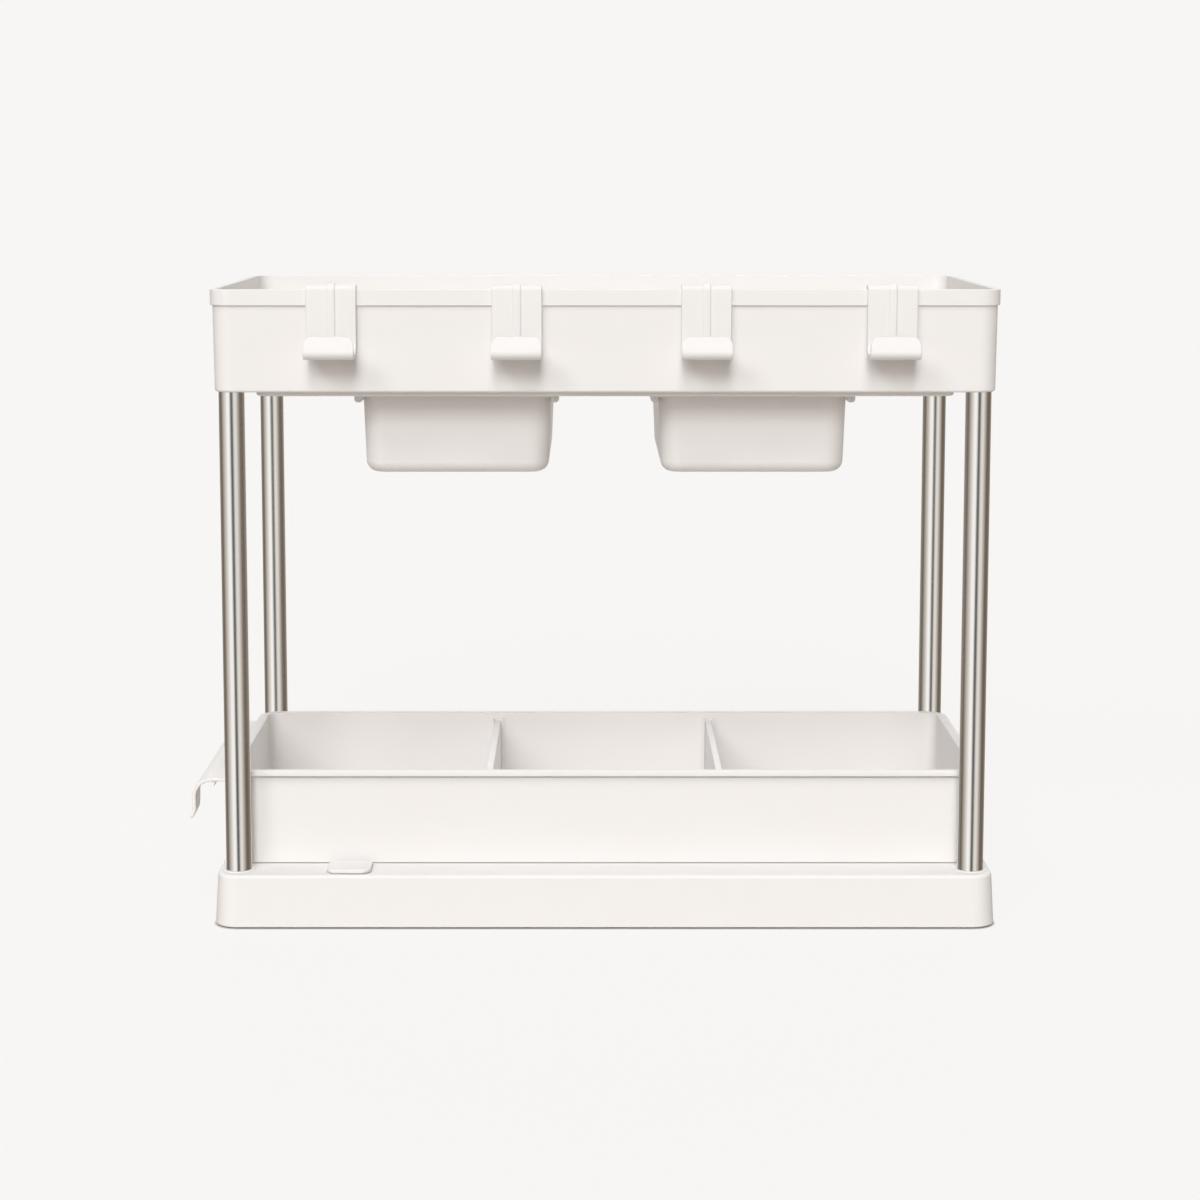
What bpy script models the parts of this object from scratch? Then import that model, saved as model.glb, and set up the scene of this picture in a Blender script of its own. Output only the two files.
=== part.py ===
"""Two-tier cabinet organizer.

An open upper tray stands on four steel tubes above a low base. A long drawer with two lift-out dividers
slides on the base between the tubes, two small bins slide on runners under the upper tray, and four hooks
hang over the tray's front rim.

Metres. X runs along the length, Y from the front to the back and Z up. The origin is on the floor, under the
boss in the middle of the base.
"""

import math

import bmesh
import bpy
from mathutils import Matrix, Vector

# Fits and steps
SEAT_GAP = 0.0003
RUN_GAP = 0.0005
CUT_OVERRUN = 0.0010
PLAN_STEPS = 5
EDGE_STEPS = 3
TURN_STEPS = 24
HIDDEN_TURN_STEPS = 16
SMOOTH_ANGLE = math.radians(32)

# Upper tray
OVERALL_HEIGHT = 0.3285
TRAY_LENGTH = 0.4000
TRAY_DEPTH = 0.1960
TRAY_HEIGHT = 0.0520
TRAY_CORNER_RADIUS = 0.0120
TRAY_WALL = 0.0022
TRAY_FLOOR = 0.0026
TRAY_DRAFT = 0.0006
TRAY_FOOT_RADIUS = 0.0013
TRAY_FLOOR_FILLET = 0.0040
RIM_BAND_HEIGHT = 0.0082
RIM_BAND_PROUD = 0.0012
RIM_EDGE = 0.0005
PANEL_END_MARGIN = 0.0225
PANEL_SIDE_MARGIN = 0.0070
PANEL_DROP = 0.0023
PANEL_FLOOR = 0.0034
PANEL_CORNER_RADIUS = 0.0080
PANEL_EDGE = 0.0008

# Steel tubes, their end plugs and the sockets that take them
TUBE_INSET_X = 0.0102
TUBE_INSET_Y = 0.0114
TUBE_DIAMETER = 0.0132
TUBE_WALL = 0.0008
BASE_SOCKET_DEPTH = 0.0200
TRAY_SOCKET_DEPTH = 0.0160
SOCKET_WALL = 0.0012
SOCKET_CAP = 0.0020
PLUG_FLANGE = 0.0015
PLUG_SHANK = 0.0130
PLUG_LEAD = 0.0020
PLUG_BORE_RADIUS = 0.0018
PLUG_BORE_DEPTH = 0.0100

# Base
BASE_FLARE_X = 0.0018
BASE_FLARE_Y = 0.0038
BASE_HEIGHT = 0.0278
BASE_CORNER_RADIUS = 0.0125
BASE_DRAFT = 0.0016
BASE_EDGE_RADIUS = 0.0018
BASE_FOOT_EDGE = 0.0006
BASE_WALL = 0.0025
DECK_THICKNESS = 0.0026
BASE_GROUND_GAP = 0.0005
BASE_BOSS_RADIUS = 0.0094
CENTRE_BOSS_RADIUS = 0.0070
COLLAR_WIDTH = 0.0016
COLLAR_HEIGHT = 0.0004
RIB_THICKNESS = 0.0016
RIB_DEPTH = 0.0060
RIBS_EACH_WAY_X = 2
RIBS_EACH_WAY_Y = 1
GLIDE_SPACING = 0.1100
GLIDE_WIDTH = 0.0050
GLIDE_HEIGHT = 0.0003
GLIDE_END_MARGIN = 0.0138
STOP_WIDTH = 0.0700
STOP_THICKNESS = 0.0022
STOP_HEIGHT = 0.0042
PAD_RADIUS = 0.0080
PAD_THICKNESS = 0.0012
PAD_EDGE = 0.0003

# Tab on the base's front ledge
TAB_SETBACK = 0.0696
TAB_WIDTH = 0.0226
TAB_DEPTH = 0.0190
TAB_FRONT_MARGIN = 0.0042
TAB_HEIGHT = 0.0024
TAB_SEAT_DEPTH = 0.0006
TAB_BACK_RADIUS = 0.0015
TAB_FRONT_RADIUS = 0.0050
TAB_EDGE = 0.0005

# Drawer
DRAWER_END_MARGIN = 0.0048
DRAWER_SIDE_GAP = 0.0010
DRAWER_HEIGHT = 0.0493
DRAWER_CORNER_RADIUS = 0.0120
DRAWER_WALL = 0.0024
DRAWER_FLOOR = 0.0022
DRAWER_DRAFT = 0.0006
DRAWER_FOOT_RADIUS = 0.0010
DRAWER_RIM_OVERHANG = 0.0026
DRAWER_RIM_THICKNESS = 0.0026
DRAWER_RIM_EDGE = 0.0005
GUIDE_THICKNESS = 0.0013
GUIDE_PROUD = 0.0022
GUIDE_TOP_DROP = 0.0030

# Dividers
DIVIDER_SPACING = 0.1213
DIVIDER_THICKNESS = 0.0036
DIVIDER_TOP_DROP = 0.0046
DIVIDER_SIDE_GAP = 0.0004
DIVIDER_EDGE = 0.0006
DIVIDER_CORNER = 0.0050

# Drawer handle
HANDLE_SIDE_MARGIN = 0.0045
HANDLE_THICKNESS = 0.0018
HANDLE_TOP_DROP = 0.0047
HANDLE_PLATE_HEIGHT = 0.0290
HANDLE_REACH = 0.0189
HANDLE_ROOT_RADIUS = 0.0022
HANDLE_ROLL_RADIUS = 0.0090
HANDLE_LIP_LENGTH = 0.0065
HANDLE_FLARE_LENGTH = 0.0036
HANDLE_FLARE_RADIUS = 0.0040
HANDLE_FLARE_ANGLE = math.radians(24)
HANDLE_EAR_WIDTH = 0.0170
HANDLE_ARCH_DROP = 0.0045
HANDLE_ARCH_RADIUS = 0.0060
HANDLE_EDGE = 0.0004
BEAD_SETBACK = 0.0099
BEAD_WIDTH = 0.0024
BEAD_DEPTH = 0.0034
CATCH_SPACING = 0.0800
CATCH_WIDTH = 0.0120
CATCH_THICKNESS = 0.0018
CATCH_RISE = 0.0028
CATCH_HOOK = 0.0010

# Bins under the tray
BIN_SPACING = 0.1525
BIN_BODY_WIDTH = 0.0974
BIN_HEIGHT = 0.0409
BIN_FRONT_SETBACK = 0.0245
BIN_BACK_SETBACK = 0.0215
BIN_WALL = 0.0018
BIN_DRAFT = 0.0016
BIN_CORNER_RADIUS = 0.0140
BIN_FOOT_RADIUS = 0.0085
BIN_FLANGE_WIDTH = 0.0019
BIN_FLANGE_THICKNESS = 0.0022
BIN_FLANGE_EDGE = 0.0004
WING_OVERHANG = 0.0018
WING_TAPER = 0.0014
WING_DEPTH = 0.0028

# Runners that carry the bins
RUNNER_WEB = 0.0017
RUNNER_FOOT_THICKNESS = 0.0016
RUNNER_FOOT_GAP = 0.0006
RUNNER_CHAMFER = 0.0011
RUNNER_TAIL = 0.0015
TONGUE_COUNT = 3
TONGUE_LENGTH = 0.0120
TONGUE_THICKNESS = 0.0010
TONGUE_HEIGHT = 0.0018
TONGUE_END_MARGIN = 0.0150

# Hooks, from left to right along the front rim
HOOK_PLACE_SHARES = (-0.344, -0.111, 0.127, 0.3605)
HOOK_WIDTH = 0.0252
HOOK_THICKNESS = 0.0022
HOOK_LIP_THICKNESS = 0.0028
HOOK_BEND_RADIUS = 0.0017
HOOK_INNER_LEG = 0.0110
HOOK_HEIGHT = 0.0365
HOOK_REACH = 0.0200
HOOK_BOWL_RADIUS = 0.0065
HOOK_TOE_RADIUS = 0.0022
HOOK_LIP_LENGTH = 0.0076
HOOK_LIP_LEAN = math.radians(18)
HOOK_LIP_CORNER_WIDTH = 0.0048
HOOK_LIP_CORNER_LENGTH = 0.0058
HOOK_EDGE = 0.0004
HOOK_RIB_WIDTH = 0.0044
HOOK_RIB_HEIGHT = 0.0007
HOOK_RIB_SLOPE = 0.0005
HOOK_TIP_SHARE = 0.45

# Finishes: colour, roughness and metallic value
WHITE_PLASTIC = ((0.86, 0.84, 0.81), 0.42, 0.0)
BRUSHED_STEEL = ((0.62, 0.59, 0.56), 0.30, 1.0)
GREY_RUBBER = ((0.30, 0.30, 0.30), 0.80, 0.0)

# Sizes, levels and faces that follow from the sizes above
PANEL_LENGTH = TRAY_LENGTH - 2 * PANEL_END_MARGIN
PANEL_DEPTH = TRAY_DEPTH - 2 * PANEL_SIDE_MARGIN
TUBE_SPACING_X = TRAY_LENGTH - 2 * TUBE_INSET_X
TUBE_SPACING_Y = TRAY_DEPTH - 2 * TUBE_INSET_Y
BASE_LENGTH = TRAY_LENGTH + 2 * BASE_FLARE_X
BASE_DEPTH = TRAY_DEPTH + 2 * BASE_FLARE_Y
TAB_X = -BASE_LENGTH / 2 + TAB_SETBACK
DRAWER_LENGTH = BASE_LENGTH - 2 * DRAWER_END_MARGIN
BIN_DEPTH = TRAY_DEPTH - BIN_FRONT_SETBACK - BIN_BACK_SETBACK
TRAY_BOTTOM = OVERALL_HEIGHT - TRAY_HEIGHT
TRAY_FLOOR_TOP = TRAY_BOTTOM + TRAY_FLOOR
TRAY_BODY_HALF_X = TRAY_LENGTH / 2 - RIM_BAND_PROUD
TRAY_BODY_HALF_Y = TRAY_DEPTH / 2 - RIM_BAND_PROUD
TRAY_BODY_RADIUS = TRAY_CORNER_RADIUS - RIM_BAND_PROUD
PANEL_BOTTOM = TRAY_BOTTOM - PANEL_DROP
TUBE_RADIUS = TUBE_DIAMETER / 2
SOCKET_RADIUS = TUBE_RADIUS + SEAT_GAP
BASE_SOCKET_FLOOR = BASE_HEIGHT - BASE_SOCKET_DEPTH
TRAY_SOCKET_CEILING = TRAY_BOTTOM + TRAY_SOCKET_DEPTH
TUBE_END_STACK = SEAT_GAP + PLUG_FLANGE + SEAT_GAP
TUBE_BOTTOM = BASE_SOCKET_FLOOR + TUBE_END_STACK
TUBE_TOP = TRAY_SOCKET_CEILING - TUBE_END_STACK
DECK_CORE = BASE_HEIGHT - DECK_THICKNESS / 2
DRAWER_DEPTH = TUBE_SPACING_Y - TUBE_DIAMETER - 2 * DRAWER_SIDE_GAP
DRAWER_BOTTOM = BASE_HEIGHT + GLIDE_HEIGHT + SEAT_GAP
DRAWER_BODY_HALF_X = DRAWER_LENGTH / 2 - DRAWER_RIM_OVERHANG
DRAWER_BODY_HALF_Y = DRAWER_DEPTH / 2 - DRAWER_RIM_OVERHANG
DRAWER_BODY_RADIUS = DRAWER_CORNER_RADIUS - DRAWER_RIM_OVERHANG
DRAWER_TAPER_SHARE = DRAWER_DRAFT / DRAWER_HEIGHT
BIN_TOP = PANEL_BOTTOM - RUN_GAP
BIN_HALF_WIDTH = BIN_BODY_WIDTH / 2
BIN_FRONT = -TRAY_DEPTH / 2 + BIN_FRONT_SETBACK
BIN_CENTRE_Y = BIN_FRONT + BIN_DEPTH / 2


def clear_scene():
    """Remove every object of the scene that the file opens with."""
    for item in list(bpy.data.objects):
        bpy.data.objects.remove(item, do_unlink=True)


def finish_material(name, finish):
    """Make a piece's own material from its colour, roughness and metallic value."""
    colour, roughness, metallic = finish
    material = bpy.data.materials.new(name + "_finish")
    material.use_nodes = True
    shader = material.node_tree.nodes["Principled BSDF"]
    shader.inputs["Base Color"].default_value = (*colour, 1.0)
    shader.inputs["Roughness"].default_value = roughness
    shader.inputs["Metallic"].default_value = metallic
    return material


def add_piece(name, shape, finish, place=(0, 0, 0), parent=None):
    """Turn a bmesh into a named object at its place, shaded smooth between its sharp edges."""
    mesh = bpy.data.meshes.new(name)
    shape.to_mesh(mesh)
    shape.free()
    mesh.shade_smooth()
    mesh.set_sharp_from_angle(angle=SMOOTH_ANGLE)
    mesh.materials.append(finish_material(name, finish))
    piece = bpy.data.objects.new(name, mesh)
    bpy.context.scene.collection.objects.link(piece)
    piece.location = place
    piece.parent = parent
    return piece


def combine(piece, shape, label, operation):
    """Cut a shape out of a piece, or fuse it to the piece, with an exact Boolean."""
    mesh = bpy.data.meshes.new(piece.name + "." + label)
    shape.to_mesh(mesh)
    shape.free()
    tool = bpy.data.objects.new(mesh.name, mesh)
    bpy.context.scene.collection.objects.link(tool)
    tool.parent = piece
    tool.hide_render = True
    tool.display_type = "WIRE"
    modifier = piece.modifiers.new(label, "BOOLEAN")
    modifier.solver = "EXACT"
    modifier.operation = operation
    modifier.object = tool


def cut(piece, shape, label):
    """Cut a shape out of a piece."""
    combine(piece, shape, label, "DIFFERENCE")


def fuse(piece, shape, label):
    """Fuse a shape to a piece."""
    combine(piece, shape, label, "UNION")


def rounded_ring(half_x, half_y, radius, z):
    """Points of a rounded rectangle at a height, anticlockwise from the front right corner."""
    corners = (
        (half_x - radius, -half_y + radius, -90),
        (half_x - radius, half_y - radius, 0),
        (-half_x + radius, half_y - radius, 90),
        (-half_x + radius, -half_y + radius, 180),
    )
    points = []
    for centre_x, centre_y, start in corners:
        for step in range(PLAN_STEPS + 1):
            angle = math.radians(start + 90 * step / PLAN_STEPS)
            x = centre_x + radius * math.cos(angle)
            y = centre_y + radius * math.sin(angle)
            points.append(Vector((x, y, z)))
    return points


def quarter(steps=EDGE_STEPS):
    """Shares of a quarter turn: how far across and how far up each point of a fillet lies."""
    angles = [math.radians(90 * step / steps) for step in range(steps + 1)]
    return [(math.sin(angle), 1 - math.cos(angle)) for angle in angles]


def loft(rings):
    """Join rings of points, one after the other, into a closed shape capped at the first and the last."""
    shape = bmesh.new()
    loops = [[shape.verts.new(point) for point in ring] for ring in rings]
    for first, second in zip(loops, loops[1:]):
        for index in range(len(first)):
            after = (index + 1) % len(first)
            shape.faces.new((first[index], first[after], second[after], second[index]))
    shape.faces.new(loops[0][::-1])
    shape.faces.new(loops[-1])
    return shape


def turned(profile, centre=(0, 0), steps=TURN_STEPS):
    """Turn a profile of (radius, height) points that runs from axis to axis, or closes round a bore."""
    shape = bmesh.new()
    on_axis = profile[0][0] == 0
    rows = []
    for radius, height in profile:
        if radius == 0:
            rows.append([shape.verts.new((*centre, height))])
            continue
        row = []
        for step in range(steps):
            angle = math.tau * step / steps
            x = centre[0] + radius * math.cos(angle)
            y = centre[1] + radius * math.sin(angle)
            row.append(shape.verts.new((x, y, height)))
        rows.append(row)
    pairs = list(zip(rows, rows[1:]))
    if not on_axis:
        pairs.append((rows[-1], rows[0]))
    for first, second in pairs:
        for step in range(steps):
            after = (step + 1) % steps
            corners = [first[step % len(first)], first[after % len(first)]]
            corners += [second[after % len(second)], second[step % len(second)]]
            shape.faces.new(list(dict.fromkeys(corners)))
    return shape


def cylinder(radius, low, high, centre=(0, 0)):
    """A plain cylinder that stands between two heights."""
    return turned([(0, low), (radius, low), (radius, high), (0, high)], centre)


def box(low, high):
    """A box between two opposite corners."""
    shape = bmesh.new()
    bmesh.ops.create_cube(shape, size=1)
    low, high = Vector(low), Vector(high)
    size = high - low
    move = Matrix.Translation((low + high) / 2) @ Matrix.Diagonal((*size, 1))
    bmesh.ops.transform(shape, matrix=move, verts=shape.verts)
    return shape


def prism(outline, low, high, place):
    """Extrude an outline of (a, b) points from low to high, where place(a, b, c) gives a point in space."""
    rings = [[Vector(place(a, b, level)) for a, b in outline] for level in (low, high)]
    shape = loft(rings)
    bmesh.ops.recalc_face_normals(shape, faces=shape.faces)
    return shape


def merge(shapes):
    """Put several shapes that lie apart into one bmesh."""
    merged = bmesh.new()
    for shape in shapes:
        mesh = bpy.data.meshes.new("merged")
        shape.to_mesh(mesh)
        shape.free()
        merged.from_mesh(mesh)
        bpy.data.meshes.remove(mesh)
    return merged


def arc_outline(corners):
    """Round the corners of an outline: each corner is (a, b, radius), in order."""
    outline = []
    for index, (a, b, radius) in enumerate(corners):
        here = Vector((a, b))
        before = (Vector(corners[index - 1][:2]) - here).normalized()
        after = (Vector(corners[(index + 1) % len(corners)][:2]) - here).normalized()
        if radius == 0:
            outline.append((a, b))
            continue
        half = before.angle(after) / 2
        reach = radius / math.tan(half)
        centre = here + (before + after).normalized() * radius / math.sin(half)
        start = here + before * reach - centre
        sweep = start.angle_signed(here + after * reach - centre)
        for step in range(PLAN_STEPS + 1):
            spoke = Matrix.Rotation(-sweep * step / PLAN_STEPS, 2) @ start
            outline.append(tuple(centre + spoke))
    return outline


def walk(start, heading, legs):
    """Follow legs of (length, turn, steps) in a plane: lists each point, its direction and the way gone."""
    point = Vector(start)
    gone = 0
    stations = [(point.copy(), Vector((math.cos(heading), math.sin(heading))), gone)]
    for length, turn, steps in legs:
        for _ in range(steps):
            piece, bend = length / steps, turn / steps
            chord = piece if bend == 0 else 2 * (piece / abs(bend)) * math.sin(abs(bend) / 2)
            middle = heading + bend / 2
            point = point + chord * Vector((math.cos(middle), math.sin(middle)))
            heading += bend
            gone += piece
            stations.append((point.copy(), Vector((math.cos(heading), math.sin(heading))), gone))
    return stations


def strip_section(half_width, thickness, edge, rib=(0, 0, 0)):
    """Section of a strip with eased edges and, on its outer side, a rib of half width, height and slope."""
    half = thickness / 2
    rib_half, rib_height, rib_slope = rib
    under = [(-half_width + edge, -half), (half_width - edge, -half)]
    right = [(half_width, -half + edge), (half_width, half - edge), (half_width - edge, half)]
    left = [(-half_width + edge, half), (-half_width, half - edge), (-half_width, -half + edge)]
    crest = []
    if rib_half > 0:
        crest = [(rib_half, half), (rib_half - rib_slope, half + rib_height)]
        crest += [(-rib_half + rib_slope, half + rib_height), (-rib_half, half)]
    return under + right + crest + left


def sweep(stations, sections, across, lift):
    """Sweep sections along stations: across is the width's direction, lift places a plane point in space."""
    rings = []
    for (point, direction, _), section in zip(stations, sections):
        origin = lift(point)
        outward = (lift(direction)).cross(across)
        rings.append([origin + across * u + outward * v for u, v in section])
    return loft(rings)


def tube_places():
    """Centres of the four tubes, with a name for each corner."""
    for row, side_y in (("front", -1), ("back", 1)):
        for column, side_x in (("left", -1), ("right", 1)):
            yield f"{row}_{column}", (side_x * TUBE_SPACING_X / 2, side_y * TUBE_SPACING_Y / 2)


def base_shell():
    """The base's skirt and deck, open below."""
    half_x, half_y = BASE_LENGTH / 2, BASE_DEPTH / 2
    radius = BASE_CORNER_RADIUS
    inner_top = BASE_DRAFT + BASE_WALL
    deck_under = BASE_HEIGHT - DECK_THICKNESS
    steps = [(inner_top, deck_under), (BASE_WALL, BASE_GROUND_GAP), (BASE_FOOT_EDGE, BASE_GROUND_GAP)]
    steps.append((0, BASE_GROUND_GAP + BASE_FOOT_EDGE))
    for across, up in quarter():
        inset = BASE_DRAFT + BASE_EDGE_RADIUS * up
        steps.append((inset, BASE_HEIGHT - BASE_EDGE_RADIUS + BASE_EDGE_RADIUS * across))
    return loft([rounded_ring(half_x - inset, half_y - inset, radius - inset, z) for inset, z in steps])


def base_ribs():
    """Ribs that cross under the deck."""
    half_x = BASE_LENGTH / 2 - BASE_DRAFT - BASE_WALL / 2
    half_y = BASE_DEPTH / 2 - BASE_DRAFT - BASE_WALL / 2
    half_rib = RIB_THICKNESS / 2
    rib_bottom = BASE_HEIGHT - DECK_THICKNESS - RIB_DEPTH
    pitch_x = half_x / (RIBS_EACH_WAY_X + 1)
    pitch_y = half_y / (RIBS_EACH_WAY_Y + 1)
    for index in range(-RIBS_EACH_WAY_Y, RIBS_EACH_WAY_Y + 1):
        y = index * pitch_y
        yield box((-half_x, y - half_rib, rib_bottom), (half_x, y + half_rib, DECK_CORE))
    for index in range(-RIBS_EACH_WAY_X, RIBS_EACH_WAY_X + 1):
        x = index * pitch_x
        yield box((x - half_rib, -half_y, rib_bottom), (x + half_rib, half_y, DECK_CORE))


def tab_outline(grow=0):
    """Plan of the tab, with larger corners at the front; grow widens it all round."""
    front = -BASE_DEPTH / 2 + TAB_FRONT_MARGIN - grow
    back = front + TAB_DEPTH + 2 * grow
    left = TAB_X - TAB_WIDTH / 2 - grow
    right = left + TAB_WIDTH + 2 * grow
    corners = ((left, front, TAB_FRONT_RADIUS), (right, front, TAB_FRONT_RADIUS))
    return arc_outline(corners + ((right, back, TAB_BACK_RADIUS), (left, back, TAB_BACK_RADIUS)))


def make_base():
    """The base: skirt, deck, tube sockets with collars, drawer glides, drawer stop and ribs."""
    base = add_piece("base_tray", base_shell(), WHITE_PLASTIC)
    for index, rib in enumerate(base_ribs()):
        fuse(base, rib, f"rib_{index}")
    centre_boss = cylinder(CENTRE_BOSS_RADIUS, 0, DECK_CORE)
    boss_bottom = PAD_THICKNESS + SEAT_GAP
    bosses = [cylinder(BASE_BOSS_RADIUS, boss_bottom, DECK_CORE, place) for _, place in tube_places()]
    fuse(base, merge([centre_boss] + bosses), "bosses")
    collar_radius = SOCKET_RADIUS + COLLAR_WIDTH
    collar_top = BASE_HEIGHT + COLLAR_HEIGHT
    profile = [(0, DECK_CORE), (collar_radius, DECK_CORE), (collar_radius, collar_top - COLLAR_HEIGHT / 2)]
    profile += [(collar_radius - COLLAR_HEIGHT / 2, collar_top), (0, collar_top)]
    fuse(base, merge([turned(profile, place) for _, place in tube_places()]), "collars")
    glides = []
    glide_x = BASE_LENGTH / 2 - GLIDE_END_MARGIN
    for side in (-1, 1):
        y = side * GLIDE_SPACING / 2
        low = (-glide_x, y - GLIDE_WIDTH / 2, DECK_CORE)
        glides.append(box(low, (glide_x, y + GLIDE_WIDTH / 2, BASE_HEIGHT + GLIDE_HEIGHT)))
    stop_x = DRAWER_BODY_HALF_X + RUN_GAP
    low = (stop_x, -STOP_WIDTH / 2, DECK_CORE)
    stop = box(low, (stop_x + STOP_THICKNESS, STOP_WIDTH / 2, BASE_HEIGHT + STOP_HEIGHT))
    fuse(base, merge(glides + [stop]), "glides_and_stop")
    high = collar_top + CUT_OVERRUN
    sockets = [cylinder(SOCKET_RADIUS, BASE_SOCKET_FLOOR, high, place) for _, place in tube_places()]
    cut(base, merge(sockets), "sockets")
    seat_floor = BASE_HEIGHT - TAB_SEAT_DEPTH
    seat = prism(tab_outline(SEAT_GAP), seat_floor, BASE_HEIGHT + CUT_OVERRUN, lambda a, b, c: (a, b, c))
    cut(base, seat, "tab_seat")
    return base


def make_pads(base):
    """Four rubber pads under the tube bosses."""
    profile = [(0, 0), (PAD_RADIUS - PAD_EDGE, 0), (PAD_RADIUS, PAD_EDGE), (PAD_RADIUS, PAD_THICKNESS)]
    profile.append((0, PAD_THICKNESS))
    for corner, place in tube_places():
        add_piece(f"foot_pad_{corner}", turned(profile), GREY_RUBBER, (*place, 0), base)


def make_tab(base):
    """The plain tab that sits in its seat on the front ledge."""
    bottom = BASE_HEIGHT - TAB_SEAT_DEPTH + SEAT_GAP
    top = BASE_HEIGHT + TAB_HEIGHT
    outline = tab_outline()
    centre = Vector((TAB_X, -BASE_DEPTH / 2 + TAB_FRONT_MARGIN + TAB_DEPTH / 2))
    reach = Vector((TAB_WIDTH / 2, TAB_DEPTH / 2))
    rings = []
    for inset, z in ((0, bottom), (0, top - TAB_EDGE), (TAB_EDGE / 3, top - TAB_EDGE / 3), (TAB_EDGE, top)):
        scale_x, scale_y = 1 - inset / reach.x, 1 - inset / reach.y
        ring = []
        for x, y in outline:
            ring.append(Vector((centre.x + (x - centre.x) * scale_x, centre.y + (y - centre.y) * scale_y, z)))
        rings.append(ring)
    return add_piece("ledge_tab", loft(rings), WHITE_PLASTIC, parent=base)


def make_tubes(base):
    """Four hollow steel tubes, each with a plug in both ends."""
    inner = TUBE_RADIUS - TUBE_WALL
    length = TUBE_TOP - TUBE_BOTTOM
    tube_profile = [(inner, 0), (TUBE_RADIUS, 0), (TUBE_RADIUS, length), (inner, length)]
    shank = inner - SEAT_GAP
    tip = PLUG_FLANGE + PLUG_SHANK
    plug_profile = [(0, PLUG_BORE_DEPTH), (PLUG_BORE_RADIUS, PLUG_BORE_DEPTH), (PLUG_BORE_RADIUS, 0)]
    plug_profile += [(TUBE_RADIUS, 0), (TUBE_RADIUS, PLUG_FLANGE), (shank, PLUG_FLANGE)]
    plug_profile += [(shank, tip - PLUG_LEAD), (shank - PLUG_LEAD / 2, tip), (0, tip)]
    below = -SEAT_GAP - PLUG_FLANGE
    for corner, place in tube_places():
        tube = add_piece(f"tube_{corner}", turned(tube_profile), BRUSHED_STEEL, (*place, TUBE_BOTTOM), base)
        plug = turned(plug_profile, steps=HIDDEN_TURN_STEPS)
        add_piece(f"lower_plug_{corner}", plug, WHITE_PLASTIC, (0, 0, below), tube)
        plug = turned(plug_profile, steps=HIDDEN_TURN_STEPS)
        upper = add_piece(f"upper_plug_{corner}", plug, WHITE_PLASTIC, (0, 0, length - below), tube)
        upper.rotation_euler.x = math.pi


def tray_shell():
    """The upper tray: dropped panel, rounded foot, drafted walls and a rim band that stands proud."""
    half_x, half_y, radius = TRAY_BODY_HALF_X, TRAY_BODY_HALF_Y, TRAY_BODY_RADIUS
    panel = (PANEL_LENGTH / 2, PANEL_DEPTH / 2, PANEL_CORNER_RADIUS)
    rings = []

    def add(base_half_x, base_half_y, base_radius, inset, z):
        rings.append(rounded_ring(base_half_x - inset, base_half_y - inset, base_radius - inset, z))

    add(*panel, PANEL_EDGE, PANEL_BOTTOM)
    add(*panel, 0, PANEL_BOTTOM + PANEL_EDGE)
    add(*panel, 0, TRAY_BOTTOM)
    for across, up in quarter():
        inset = TRAY_DRAFT + TRAY_FOOT_RADIUS * (1 - across)
        add(half_x, half_y, radius, inset, TRAY_BOTTOM + TRAY_FOOT_RADIUS * up)
    band_bottom = OVERALL_HEIGHT - RIM_BAND_HEIGHT
    add(half_x, half_y, radius, 0, band_bottom - RIM_EDGE / 2)
    add(half_x, half_y, radius, -RIM_BAND_PROUD + RIM_EDGE, band_bottom)
    add(half_x, half_y, radius, -RIM_BAND_PROUD, band_bottom + RIM_EDGE)
    add(half_x, half_y, radius, -RIM_BAND_PROUD, OVERALL_HEIGHT - RIM_EDGE)
    add(half_x, half_y, radius, -RIM_BAND_PROUD + RIM_EDGE, OVERALL_HEIGHT)
    add(half_x, half_y, radius, TRAY_WALL - RIM_EDGE, OVERALL_HEIGHT)
    add(half_x, half_y, radius, TRAY_WALL, OVERALL_HEIGHT - RIM_EDGE)
    for across, up in quarter():
        inset = TRAY_WALL + TRAY_DRAFT + TRAY_FLOOR_FILLET * up
        add(half_x, half_y, radius, inset, TRAY_FLOOR_TOP + TRAY_FLOOR_FILLET * (1 - across))
    panel_top = PANEL_BOTTOM + PANEL_FLOOR
    add(*panel, TRAY_FLOOR - PANEL_EDGE, TRAY_FLOOR_TOP)
    add(*panel, TRAY_FLOOR, panel_top)
    return loft(rings)


def runner_bottom():
    """Level of the underside of the runners' feet."""
    return BIN_TOP - BIN_FLANGE_THICKNESS - RUN_GAP - RUNNER_FOOT_THICKNESS


def runner_span():
    """Front and back ends of the runners."""
    front = BIN_FRONT + WING_DEPTH + SEAT_GAP
    return front, BIN_FRONT + BIN_DEPTH + RUNNER_TAIL


def runner_faces():
    """Inner and outer faces of a runner's web, measured from its bin's middle."""
    inner = BIN_HALF_WIDTH + BIN_FLANGE_WIDTH + SEAT_GAP
    return inner, inner + RUNNER_WEB


def tongue_boxes(middle_x, side, grow=0):
    """The tongues on top of one runner, or their slots where grow is the clearance."""
    inner, outer = runner_faces()
    centre_x = middle_x + side * (inner + outer) / 2
    front, back = runner_span()
    first = front + TONGUE_END_MARGIN + TONGUE_LENGTH / 2
    pitch = (back - front - 2 * TONGUE_END_MARGIN - TONGUE_LENGTH) / (TONGUE_COUNT - 1)
    bottom = PANEL_BOTTOM - SEAT_GAP - RUNNER_FOOT_THICKNESS / 2
    top = PANEL_BOTTOM - SEAT_GAP + TONGUE_HEIGHT + grow
    half_x, half_y = TONGUE_THICKNESS / 2 + grow, TONGUE_LENGTH / 2 + grow
    for index in range(TONGUE_COUNT):
        y = first + index * pitch
        yield box((centre_x - half_x, y - half_y, bottom), (centre_x + half_x, y + half_y, top))


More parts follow.
